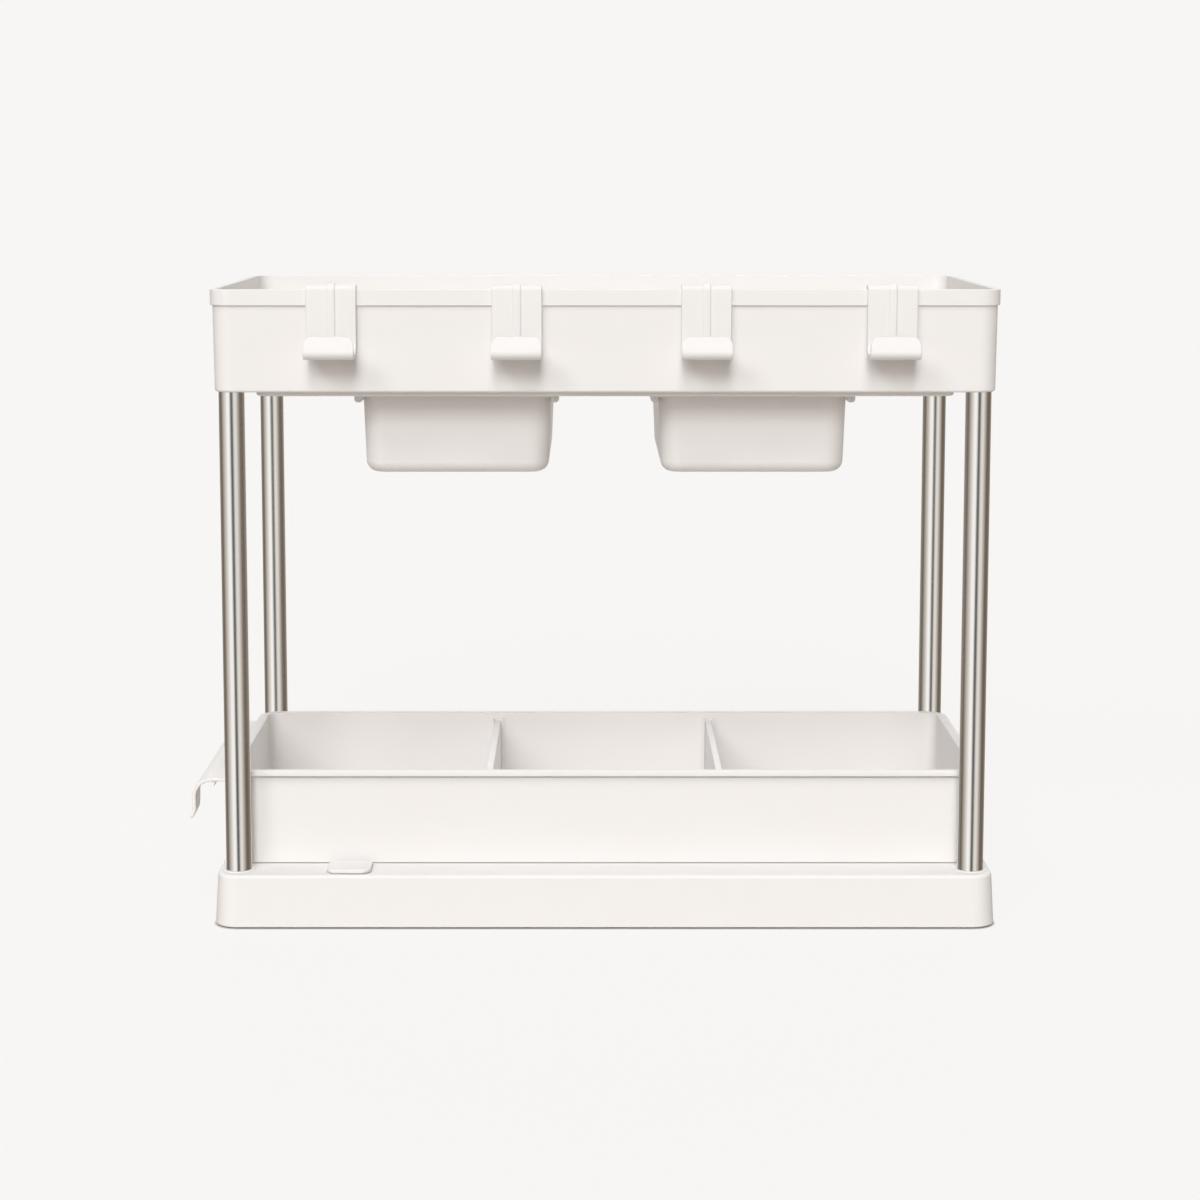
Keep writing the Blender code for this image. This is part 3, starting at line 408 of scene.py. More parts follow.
def eased(corners: Sequence[Triple], steps: int = EDGE_STEPS, closed: bool = False) -> list[Pair]:
    """Round the corners of a line in a plane with arcs.

    Args:
        corners: each corner as two coordinates and how far from it its arc starts.
        steps: chords of each arc.
        closed: whether the line joins up with its start.

    Returns:
        The points of the rounded line.
    """
    line = []
    last = len(corners) - 1
    for index, (a, b, reach) in enumerate(corners):
        here = Vector((a, b))
        if reach == 0 or (not closed and index in (0, last)):
            line.append((a, b))
            continue
        before = (Vector(corners[index - 1][:2]) - here).normalized()
        after = (Vector(corners[(index + 1) % len(corners)][:2]) - here).normalized()
        start, end = here + before * reach, here + after * reach
        pull = math.sqrt((1 - before.dot(after)) / 2)
        for step in range(steps + 1):
            share = step / steps
            first, middle, second = (1 - share) ** 2, 2 * share * (1 - share) * pull, share ** 2
            point = (start * first + here * middle + end * second) / (first + middle + second)
            line.append((point.x, point.y))
    return line


@dataclass(frozen=True)
class Plan:
    """A rounded rectangle seen from above."""

    half_x: float
    half_y: float
    radius: float
    centre: Pair = (0.0, 0.0)
    least_radius: float = 0.0010

    def rings(self, profile: Iterable[Pair]) -> list[list[Vector]]:
        """The outline at each point of a profile, anticlockwise from the front right corner.

        Args:
            profile: how far each ring is moved inwards, and its height.

        Returns:
            The rings.
        """
        rings = []
        for inset, z in profile:
            x, y = self.half_x - inset, self.half_y - inset
            radius = max(self.radius - inset, self.least_radius)
            corners = [(x, -y, radius), (x, y, radius), (-x, y, radius), (-x, -y, radius)]
            line = eased(corners, CORNER_STEPS, closed=True)
            rings.append([Vector((a + self.centre[0], b + self.centre[1], z)) for a, b in line])
        return rings


class Shape:
    """A closed surface."""

    def __init__(self) -> None:
        """Start with nothing."""
        self.mesh = bmesh.new()

    @classmethod
    def loft(cls, rings: Sequence[Sequence[Vector]]) -> "Shape":
        """Join rings of points, capped at the first and the last.

        Args:
            rings: rings with the same number of points.

        Returns:
            The closed shape.
        """
        shape = cls()
        loops = [[shape.mesh.verts.new(point) for point in ring] for ring in rings]
        for first, second in zip(loops, loops[1:]):
            for index in range(len(first)):
                after = (index + 1) % len(first)
                shape.mesh.faces.new((first[index], first[after], second[after], second[index]))
        shape.mesh.faces.new(loops[0][::-1])
        shape.mesh.faces.new(loops[-1])
        return shape.outward()

    @classmethod
    def turned(cls, profile: Sequence[Pair], centre: Pair = (0.0, 0.0)) -> "Shape":
        """Turn a profile about an upright axis.

        Args:
            profile: radius and height of each point, from axis to axis or closed round a bore.
            centre: where the axis stands.

        Returns:
            The closed shape.
        """
        shape = cls()
        rows = []
        for radius, height in profile:
            turns = [math.tau * step / TURN_STEPS for step in range(TURN_STEPS)] if radius else [0.0]
            around = [(centre[0] + radius * math.cos(a), centre[1] + radius * math.sin(a)) for a in turns]
            rows.append([shape.mesh.verts.new((x, y, height)) for x, y in around])
        pairs = list(zip(rows, rows[1:]))
        if profile[0][0]:
            pairs.append((rows[-1], rows[0]))
        for first, second in pairs:
            for step in range(TURN_STEPS):
                after = (step + 1) % TURN_STEPS
                corners = [first[step % len(first)], first[after % len(first)]]
                corners += [second[after % len(second)], second[step % len(second)]]
                shape.mesh.faces.new(list(dict.fromkeys(corners)))
        return shape.outward()

    @classmethod
    def disc(cls, radius: float, low: float, high: float, centre: Pair = (0.0, 0.0)) -> "Shape":
        """An upright cylinder between two heights."""
        return cls.turned([(0, low), (radius, low), (radius, high), (0, high)], centre)

    @classmethod
    def prism(cls, outline: Sequence[Pair], low: float, high: float, axis: Axis) -> "Shape":
        """An outline extruded along an axis, from one level to another."""
        ends = [[(level, a, b) for a, b in outline] for level in (low, high)]
        return cls.loft([[Vector([point[index] for index in axis.value]) for point in end] for end in ends])

    @classmethod
    def block(cls, low: Triple, high: Triple, edge: float = 0.0) -> "Shape":
        """A box between two opposite corners, its top edges eased where edge isn't zero.

        Args:
            low: lowest corner.
            high: highest corner.
            edge: how far the top edges are eased.

        Returns:
            The closed shape.
        """
        levels = [(0, low[2], 0), (0, high[2], edge)]
        if edge:
            levels.append((edge, high[2], 0))
        middle = (low[0] + high[0]) / 2, (low[1] + high[1]) / 2
        plan = Plan((high[0] - low[0]) / 2, (high[1] - low[1]) / 2, 0.0, middle, least_radius=0.0)
        return cls.loft(plan.rings(eased(levels)))

    def outward(self) -> "Shape":
        """Turn every face outwards."""
        bmesh.ops.recalc_face_normals(self.mesh, faces=self.mesh.faces)
        return self

    def take(self, others: Iterable["Shape"]) -> "Shape":
        """Take in other shapes that lie apart from this one.

        Args:
            others: the shapes, which are used up.

        Returns:
            This shape.
        """
        for other in others:
            mesh = other.into_mesh("taken")
            self.mesh.from_mesh(mesh)
            bpy.data.meshes.remove(mesh)
        return self

    def into_mesh(self, name: str) -> bpy.types.Mesh:
        """Turn the shape, which is used up, into a mesh.

        Args:
            name: the mesh's name.

        Returns:
            The mesh.
        """
        mesh = bpy.data.meshes.new(name)
        self.mesh.to_mesh(mesh)
        self.mesh.free()
        return mesh


class Piece:
    """One visible piece on its way from a first shape to a finished object."""

    def __init__(self, name: str, shape: Shape) -> None:
        """Put the first shape into the scene."""
        self.object = put(name, shape.into_mesh(name))
        self.helpers: list[bpy.types.Object] = []

    def merge(self, how: Merge, *shapes: Shape) -> None:
        """Cut shapes out of the piece, or fuse them to it.

        Args:
            how: cut or fuse.
            shapes: shapes that lie apart from one another.
        """
        name = self.object.name + ".helper"
        helper = put(name, Shape().take(shapes).into_mesh(name))
        self.helpers.append(helper)
        modifier = self.object.modifiers.new(how.name.lower(), "BOOLEAN")
        modifier.solver = "EXACT"
        modifier.operation = how.value
        modifier.object = helper

    def bake(self) -> None:
        """Apply every modifier to the mesh."""
        graph = bpy.context.evaluated_depsgraph_get()
        mesh = bpy.data.meshes.new_from_object(self.object.evaluated_get(graph), depsgraph=graph)
        self.object.modifiers.clear()
        old, self.object.data = self.object.data, mesh
        bpy.data.meshes.remove(old)
        mesh.name = self.object.name

    def settle(self) -> None:
        """Apply the helpers, then shade broad faces flat and eased edges smooth."""
        self.bake()
        for helper in self.helpers:
            mesh = helper.data
            bpy.data.objects.remove(helper)
            bpy.data.meshes.remove(mesh)
        self.helpers.clear()
        self.object.data.shade_smooth()
        self.object.data.set_sharp_from_angle(angle=SMOOTH_ANGLE)
        self.object.modifiers.new("weights", "WEIGHTED_NORMAL").keep_sharp = True
        self.bake()

    def hand_over(self, body: Body, node: str = "", slot: Slot = Slot.PLASTIC) -> None:
        """Finish the piece and let it stand for its CAD node.

        Args:
            body: CAD body that it rides on.
            node: CAD node that it stands for, or nothing where it is named like the body.
            slot: material slot of the piece.
        """
        node = node or body.value
        self.settle()
        dress(self.object, slot)
        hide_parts(node)
        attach(self.object, body.value)
        log.info("%s stands for %s on %s", self.object.name, node, body.value)


@dataclass(frozen=True)
class TubePlace:
    """Where one tube stands, from its CAD box."""

    corner: str
    centre: Pair
    radius: float
    bottom: float
    top: float


def tube_places() -> list[TubePlace]:
    """The four tubes' places.

    Returns:
        One place for each tube, front ones first.
    """
    places = []
    for corner in ("front_left", "front_right", "back_left", "back_right"):
        low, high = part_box(f"tube_{corner}")
        middle = (low + high) / 2
        places.append(TubePlace(corner, (middle.x, middle.y), (high.x - low.x) / 2, low.z, high.z))
    return places


@dataclass
class Base:
    """The base: skirt and deck, tube sockets with collars, drawer glides, drawer stop and ribs."""

    corner_radius: float = 0.0125
    draft: float = 0.0016
    edge_radius: float = 0.0018
    foot_edge: float = 0.0006
    wall: float = 0.0025
    deck: float = 0.0026
    skirt_steps: int = 6
    ground_gap: float = 0.0007
    boss_radius: float = 0.0094
    centre_boss_radius: float = 0.0070
    collar_width: float = 0.0016
    collar_height: float = 0.0004
    collar_edge: float = 0.00028
    rib_thickness: float = 0.0016
    rib_depth: float = 0.0060
    ribs_each_way: tuple[int, int] = (2, 1)
    glide_spacing: float = 0.1100
    glide_width: float = 0.0050
    glide_height: float = 0.0003
    glide_end_margin: float = 0.0138
    stop_width: float = 0.0700
    stop_thickness: float = 0.0022
    stop_height: float = 0.0042
    stop_clearance: float = 0.0005
    socket_depth: float = 0.0200
    pad_thickness: float = 0.0012
    tab_seat_depth: float = 0.0006
    small_edge: float = 0.0003

    def __post_init__(self) -> None:
        """Take the outer sizes from the CAD node."""
        _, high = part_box("base_tray")
        self.half_x, self.half_y = high.x, high.y
        self.top = high.z - self.stop_height
        self.core = self.top - self.deck / 2

    def shell(self) -> Shape:
        """Skirt and deck, open below.

        Returns:
            The closed shape.
        """
        under, inside = self.top - self.deck, self.draft + self.wall
        corners = [
            (inside + LONG_LEAD_IN * self.wall, under, 0), (inside, under, self.foot_edge),
            (self.wall, self.ground_gap, self.foot_edge), (0, self.ground_gap, self.foot_edge),
            (self.draft, self.top, self.edge_radius),
            (self.draft + LEAD_IN * self.edge_radius, self.top, 0),
        ]
        profile = eased(corners, self.skirt_steps)
        return Shape.loft(Plan(self.half_x, self.half_y, self.corner_radius).rings(profile))

    def ribs(self) -> Iterable[Shape]:
        """Ribs that cross under the deck.

        Yields:
            A block for each rib.
        """
        half_x = self.half_x - self.draft - self.wall / 2
        half_y = self.half_y - self.draft - self.wall / 2
        half_rib = self.rib_thickness / 2
        low = self.top - self.deck - self.rib_depth
        count_x, count_y = self.ribs_each_way
        for index in range(-count_y, count_y + 1):
            y = index * half_y / (count_y + 1)
            yield Shape.block((-half_x, y - half_rib, low), (half_x, y + half_rib, self.core))
        for index in range(-count_x, count_x + 1):
            x = index * half_x / (count_x + 1)
            yield Shape.block((x - half_rib, -half_y, low), (x + half_rib, half_y, self.core))

    def collar(self, place: TubePlace) -> Shape:
        """The raised ring round a tube, fused to the deck as a disc before the socket is cut.

        Args:
            place: the tube's place.

        Returns:
            The disc.
        """
        radius, top = place.radius + SEAT_GAP + self.collar_width, self.top + self.collar_height
        corners = [(0, self.core, 0), (radius, self.core, 0), (radius, top, self.collar_edge), (0, top, 0)]
        return Shape.turned(eased(corners), place.centre)

    def deck_blocks(self) -> Iterable[Shape]:
        """The two glides and the drawer stop, which stands just outside the drawer's end wall.

        Yields:
            A block for each.
        """
        glide_x, half_y = self.half_x - self.glide_end_margin, self.glide_width / 2
        for y in (-self.glide_spacing / 2, self.glide_spacing / 2):
            high = (glide_x, y + half_y, self.top + self.glide_height)
            yield Shape.block((-glide_x, y - half_y, self.core), high, self.small_edge)
        stop_x, half_y = Drawer().half_x + self.stop_clearance, self.stop_width / 2
        high = (stop_x + self.stop_thickness, half_y, self.top + self.stop_height)
        yield Shape.block((stop_x, -half_y, self.core), high, self.small_edge)

    def build(self) -> None:
        """Make the base."""
        places = tube_places()
        base = Piece("base_moulding", self.shell())
        for rib in self.ribs():
            base.merge(Merge.FUSE, rib)
        boss_low = self.pad_thickness + SEAT_GAP
        bosses = [Shape.disc(self.centre_boss_radius, 0, self.core)]
        bosses += [Shape.disc(self.boss_radius, boss_low, self.core, place.centre) for place in places]
        base.merge(Merge.FUSE, *bosses)
        base.merge(Merge.FUSE, *[self.collar(place) for place in places])
        base.merge(Merge.FUSE, *self.deck_blocks())
        floor, over = self.top - self.socket_depth, self.top + CUT_OVERRUN
        high = over + self.collar_height
        sockets = [Shape.disc(place.radius + SEAT_GAP, floor, high, place.centre) for place in places]
        base.merge(Merge.CUT, *sockets)
        seat = Shape.prism(LedgeTab().outline(SEAT_GAP), self.top - self.tab_seat_depth, over, Axis.Z)
        base.merge(Merge.CUT, seat)
        base.hand_over(Body.STAND, "base_tray")


@dataclass
class LedgeTab:
    """The plain tab on the base's front ledge, with larger corners at its front."""

    back_radius: float = 0.0015
    front_radius: float = 0.0050
    edge: float = 0.0006
    neck_edge: float = 0.0002
    undercut: float = 0.0012
    shadow_gap: float = 0.0005

    def __post_init__(self) -> None:
        """Take the sizes from the CAD node."""
        self.low, self.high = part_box("ledge_tab")

    def outline(self, grow: float = 0.0) -> list[Pair]:
        """Plan of the tab.

        Args:
            grow: how far it is widened all round.

        Returns:
            The points of the plan.
        """
        left, right = self.low.x - grow, self.high.x + grow
        front, back = self.low.y - grow, self.high.y + grow
        reach_front, reach_back = self.front_radius + grow, self.back_radius + grow
        corners = [(left, front, reach_front), (right, front, reach_front)]
        corners += [(right, back, reach_back), (left, back, reach_back)]
        return eased(corners, CORNER_STEPS, closed=True)

    def build(self) -> None:
        """Make the tab, with a narrow dark gap under its rim."""
        top, neck = self.high.z, Base().top + self.shadow_gap
        corners = [(self.undercut, self.low.z, 0), (self.undercut, neck, 0), (0, neck, self.neck_edge)]
        profile = eased(corners + [(0, top, self.edge), (self.edge, top, 0)])[:-1]
        rings = [[Vector((x, y, z)) for x, y in self.outline(-inset)] for inset, z in profile]
        Piece("ledge_tab_plate", Shape.loft(rings)).hand_over(Body.STAND, "ledge_tab")


@dataclass
class Tubes:
    """Four steel tubes with softly deburred ends."""

    wall: float = 0.0008
    deburr: float = 0.0002
    deburr_steps: int = 3

    def build(self) -> None:
        """Make the tubes."""
        for place in tube_places():
            inner, outer = place.radius - self.wall, place.radius
            corners = [(inner, place.bottom, 0), (outer, place.bottom, self.deburr)]
            corners += [(outer, place.top, self.deburr), (inner, place.top, 0)]
            shape = Shape.turned(eased(corners, self.deburr_steps, closed=True), place.centre)
            tube = Piece(f"steel_tube_{place.corner}", shape)
            tube.hand_over(Body.STAND, f"tube_{place.corner}", Slot.STEEL)


@dataclass
class UpperTray:
    """The upper tray: dropped panel, rounded foot, drafted walls, rim band and blind tube sockets."""

    corner_radius: float = 0.0120
    wall: float = 0.0022
    floor: float = 0.0026
    draft: float = 0.0006
    wall_steps: int = 6
    foot_radius: float = 0.0013
    floor_fillet: float = 0.0040
    fillet_lead_in: float = 1.2
    band_height: float = 0.0082
    band_proud: float = 0.0012
    edge: float = 0.0005
    soft_edge: float = 0.00025
    panel_end_margin: float = 0.0225
    panel_side_margin: float = 0.0070
    panel_drop: float = 0.0023
    panel_floor: float = 0.0034
    panel_radius: float = 0.0080
    panel_edge: float = 0.0008
    panel_lead_in: float = 0.0032
    socket_wall: float = 0.0012
    socket_cap: float = 0.0020
    end_stack: float = 0.0021
    tongue_half: tuple[float, float] = (0.0008, 0.0063)
    tongue_margin: float = 0.0210
    tongue_height: float = 0.0021
    runner_web: float = 0.0017

    def __post_init__(self) -> None:
        """Take the outer sizes from the CAD node."""
        low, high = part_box("upper_tray")
        self.half_x, self.half_y = high.x, high.y
        self.top = high.z
        self.panel_bottom = low.z
        self.bottom = low.z + self.panel_drop

    def shell(self) -> Shape:
        """Panel, walls and rim in one loft, from under the panel to its upper side.

        Returns:
            The closed shape.
        """
        proud, soft, wide = self.band_proud, self.soft_edge, self.panel_lead_in
        body = Plan(self.half_x - proud, self.half_y - proud, self.corner_radius - proud)
        panel_x, panel_y = self.half_x - self.panel_end_margin, self.half_y - self.panel_side_margin
        panel = Plan(panel_x, panel_y, self.panel_radius)
        floor_top, panel_top = self.bottom + self.floor, self.panel_bottom + self.panel_floor
        inside = self.wall + self.draft
        under = [(wide, self.panel_bottom, 0), (0, self.panel_bottom, self.panel_edge), (0, self.bottom, 0)]
        around = [
            (self.draft + LEAD_IN * self.foot_radius, self.bottom, 0),
            (self.draft, self.bottom, self.foot_radius), (0, self.top - self.band_height, soft),
            (-proud, self.top - self.band_height, self.edge), (-proud, self.top, self.edge),
            (self.wall, self.top, self.edge), (inside, floor_top, self.floor_fillet),
            (inside + self.fillet_lead_in * self.floor_fillet, floor_top, 0),
        ]
        over = [
            (self.floor - LONG_LEAD_IN * self.panel_edge, floor_top, 0),
            (self.floor - self.panel_edge, floor_top, soft), (self.floor, panel_top, soft),
            (self.floor + wide, panel_top, 0),
        ]
        walls = body.rings(eased(around, self.wall_steps)[:-1])
        return Shape.loft(panel.rings(eased(under)) + walls + panel.rings(eased(over)[1:]))

    def slots(self) -> Iterable[Shape]:
        """Slots in the panel's underside for the runners' tongues.

        Yields:
            A block for each slot.
        """
        half_x, half_y = self.tongue_half
        floor, roof = self.panel_bottom - CUT_OVERRUN, self.panel_bottom + self.tongue_height
        for bin_side in ("left", "right"):
            for rail_side in ("left", "right"):
                low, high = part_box(f"{bin_side}_bin_runner_{rail_side}")
                x = low.x + self.runner_web / 2 if rail_side == "left" else high.x - self.runner_web / 2
                start, end = low.y + self.tongue_margin, high.y - self.tongue_margin
                for y in (start, (start + end) / 2, end):
                    yield Shape.block((x - half_x, y - half_y, floor), (x + half_x, y + half_y, roof))

    def build(self) -> None:
        """Make the tray."""
        tray = Piece("tray_moulding", self.shell())
        bosses, sockets = [], []
        for place in tube_places():
            bore, ceiling = place.radius + SEAT_GAP, place.top + self.end_stack
            low, high = self.bottom + self.floor / 2, ceiling + self.socket_cap
            radius = bore + self.socket_wall
            profile = eased([(0, low, 0), (radius, low, 0), (radius, high, self.socket_wall), (0, high, 0)])
            bosses.append(Shape.turned(profile, place.centre))
            sockets.append(Shape.disc(bore, self.panel_bottom - CUT_OVERRUN, ceiling, place.centre))
        tray.merge(Merge.FUSE, *bosses)
        tray.merge(Merge.CUT, *sockets)
        tray.merge(Merge.CUT, *self.slots())
        tray.hand_over(Body.STAND, "upper_tray")


@dataclass
class Bin:
    """A bin under the tray: flange, drafted walls, a well rounded foot and wings that meet the runners."""

    body: Body
    wall: float = 0.0018
    draft: float = 0.0016
    wall_steps: int = 8
    corner_radius: float = 0.0140
    foot_radius: float = 0.0058
    flange_width: float = 0.0019
    flange_thickness: float = 0.0015
    edge: float = 0.0004
    wing_overhang: float = 0.0018
    wing_taper: float = 0.0014
    wing_depth: float = 0.0028
    wing_steps: int = 3

    def __post_init__(self) -> None:
        """Take the sizes from the CAD node."""
        self.low, self.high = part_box(self.body.value)
        self.under = self.high.z - self.flange_thickness

    def shell(self) -> Shape:
        """The tub.

        Returns:
            The closed shape.
        """
        low, high, flange = self.low, self.high, self.flange_width
        middle = (low + high) / 2
        half_x, half_y = high.x - middle.x - self.wing_overhang - flange, high.y - middle.y - flange
        plan = Plan(half_x, half_y, self.corner_radius - flange, (middle.x, middle.y), self.wall)
        floor, inside, inner_radius = low.z + self.wall, self.wall + self.draft, self.foot_radius - self.wall
        corners = [
            (self.draft + SHORT_LEAD_IN * self.foot_radius, low.z, 0), (self.draft, low.z, self.foot_radius),
            (0, self.under, self.edge), (-flange, self.under, self.edge),
            (-flange, high.z, self.edge), (self.wall, high.z, self.edge),
            (inside, floor, inner_radius), (inside + SHORT_LEAD_IN * inner_radius, floor, 0),
        ]
        return Shape.loft(plan.rings(eased(corners, self.wall_steps)))

    def wings(self) -> Shape:
        """The wings at the front edge.

        Returns:
            The closed shape.
        """
        low, high, under, edge = self.low, self.high, self.under, self.edge
        half_way = high.z - self.flange_thickness / 2
        corners = [
            (low.x + self.wing_taper, under, edge), (high.x - self.wing_taper, under, edge),
            (high.x, half_way, edge), (high.x, high.z, edge / 2),
            (low.x, high.z, edge / 2), (low.x, half_way, edge),
        ]
        outline = eased(corners, self.wing_steps, closed=True)
        return Shape.prism(outline, low.y, low.y + self.wing_depth, Axis.Y)

    def build(self) -> None:
        """Make the bin."""
        tub = Piece(f"{self.body.value}_tub", self.shell())
        tub.merge(Merge.FUSE, self.wings())
        tub.hand_over(self.body)


@dataclass(frozen=True)
class Leg:
    """A straight or evenly bent stretch of a strip: its length, how far it turns, and its steps."""

    length: float
    turn: float = 0.0
    steps: int = 2


@dataclass(frozen=True)
class Station:
    """A point on a swept strip's middle line, its direction, and the way gone to it."""

    point: Vector
    direction: Vector
    gone: float


def walk(start: Pair, heading: float, legs: Iterable[Leg]) -> list[Station]:
    """Follow legs in a plane.

    Args:
        start: first point.
        heading: first direction as an angle.
        legs: the legs, in order.

    Returns:
        The stations along the way.
    """
    point, gone = Vector(start), 0.0
    stations = [Station(point.copy(), Vector((math.cos(heading), math.sin(heading))), gone)]
    for leg in legs:
        length, bend = leg.length / leg.steps, leg.turn / leg.steps
        chord = 2 * (length / abs(bend)) * math.sin(abs(bend) / 2) if bend else length
        for _ in range(leg.steps):
            middle = heading + bend / 2
            point = point + chord * Vector((math.cos(middle), math.sin(middle)))
            heading += bend
            gone += length
            stations.append(Station(point.copy(), Vector((math.cos(heading), math.sin(heading))), gone))
    return stations


def sweep(
    stations: Sequence[Station], sections: Sequence[Sequence[Pair]], across: Vector, origin: Vector
) -> Shape:
    """Sweep sections along a strip's middle line, which lies in an upright plane.

    Args:
        stations: the middle line.
        sections: the section at each station, across and outwards.
        across: direction of the strip's width.
        origin: where the plane's own origin lies.

    Returns:
        The closed shape.
    """
    forward = Vector((1, 0, 0)) if across.y else Vector((0, 1, 0))
    rings = []
    for station, section in zip(stations, sections):
        point = origin + forward * station.point.x + Vector((0, 0, station.point.y))
        direction = forward * station.direction.x + Vector((0, 0, station.direction.y))
        outward = direction.cross(across)
        rings.append([point + across * u + outward * v for u, v in section])
    return Shape.loft(rings)


def rounded_end(left: float, reach: float) -> float:
    """Share of the full size at a way left to a rounded end, which starts at reach from it."""
    return math.sqrt(1 - (1 - min(left / reach, 1.0)) ** 2)


@dataclass
class Drawer:
    """The long drawer: rounded foot, drafted walls, flat rim, divider guides and windows for the pull."""

    corner_radius: float = 0.0120
    wall: float = 0.0024
    floor: float = 0.0022
    draft: float = 0.0006
    wall_steps: int = 5
    foot_radius: float = 0.0003
    rim_overhang: float = 0.0026
    rim_thickness: float = 0.0028
    rim_edge: float = 0.0005
    relief: float = 0.0007
    relief_height: float = 0.00112
    guide_thickness: float = 0.0013
    guide_proud: float = 0.0022
    guide_top_drop: float = 0.0030
    guide_edge: float = 0.0003

    def __post_init__(self) -> None:
        """Take the outer sizes from the CAD node."""
        low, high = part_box("drawer")
        self.bottom, self.top = low.z, high.z
        self.half_x, self.half_y = high.x - self.rim_overhang, high.y - self.rim_overhang

    def shell(self) -> Shape:
        """Box and rim in one loft, with a shallow groove under the rim.

        Returns:
            The closed shape.
        """
        plan = Plan(self.half_x, self.half_y, self.corner_radius - self.rim_overhang)
        under, floor_top = self.top - self.rim_thickness, self.bottom + self.floor
        lean, inside = self.draft * self.rim_thickness / (self.top - self.bottom), self.wall + self.draft
        corners = [
            (self.draft + LEAD_IN * self.foot_radius, self.bottom, 0),
            (self.draft, self.bottom, self.foot_radius), (lean, under - self.relief_height, 0),
            (lean + self.relief, under - self.relief, 0), (lean + self.relief, under, 0),
            (-self.rim_overhang, under, self.rim_edge), (-self.rim_overhang, self.top, self.rim_edge),
            (self.wall, self.top, self.rim_edge), (inside, floor_top, self.floor),
            (inside + SHORT_LEAD_IN * self.floor, floor_top, 0),
        ]
        return Shape.loft(plan.rings(eased(corners, self.wall_steps)))

    def guides(self) -> Iterable[Shape]:
        """Pairs of upright guides, one pair at each end of a divider.

        Yields:
            A block for each guide.
        """
        wall = self.half_y - self.wall / 2
        proud = self.half_y - self.wall - self.draft - self.guide_proud
        low, high = self.bottom + self.floor / 2, self.top - self.guide_top_drop
        for divider in (Body.LEFT_DIVIDER, Body.RIGHT_DIVIDER):
            near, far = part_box(divider.value)
            for x in (near.x - SEAT_GAP - self.guide_thickness, far.x + SEAT_GAP):
                for start, end in ((-wall, -proud), (proud, wall)):
                    far_corner = (x + self.guide_thickness, end, high)
                    yield Shape.block((x, start, low), far_corner, self.guide_edge)

    def build(self) -> None:
        """Make the drawer."""
        drawer = Piece("drawer_moulding", self.shell())
        drawer.merge(Merge.FUSE, *self.guides())
        drawer.merge(Merge.CUT, *Pull().catches(SEAT_GAP))
        drawer.hand_over(Body.DRAWER, "drawer")


@dataclass
class Divider:
    """A drop-in divider with rounded lower corners and eased edges."""

    body: Body
    edge: float = 0.0006
    lower_corner: float = 0.0050
    upper_corner: float = 0.0012
    corner_steps: int = 6
    draft_share: float = 0.0122

    def build(self) -> None:
        """Make the divider."""
        low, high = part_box(self.body.value)
        height, edge = high.z - low.z, self.edge
        middle, half_y, lean = (low.z + high.z) / 2, (high.y - low.y) / 2, height * self.draft_share
        around = [(low.y + lean, low.z, self.lower_corner), (high.y - lean, low.z, self.lower_corner)]
        around += [(high.y, high.z, self.upper_corner), (low.y, high.z, self.upper_corner)]
        outline = eased(around, self.corner_steps, closed=True)
        profile = eased([(edge, low.x, 0), (0, low.x, edge), (0, high.x, edge), (edge, high.x, 0)])
        rings = []
        for inset, x in profile[1:-1]:
            share_y, share_z = 1 - inset / half_y, 1 - 2 * inset / height
            rings.append([Vector((x, y * share_y, middle + (z - middle) * share_z)) for y, z in outline])
        Piece(f"{self.body.value}_plate", Shape.loft(rings)).hand_over(self.body)


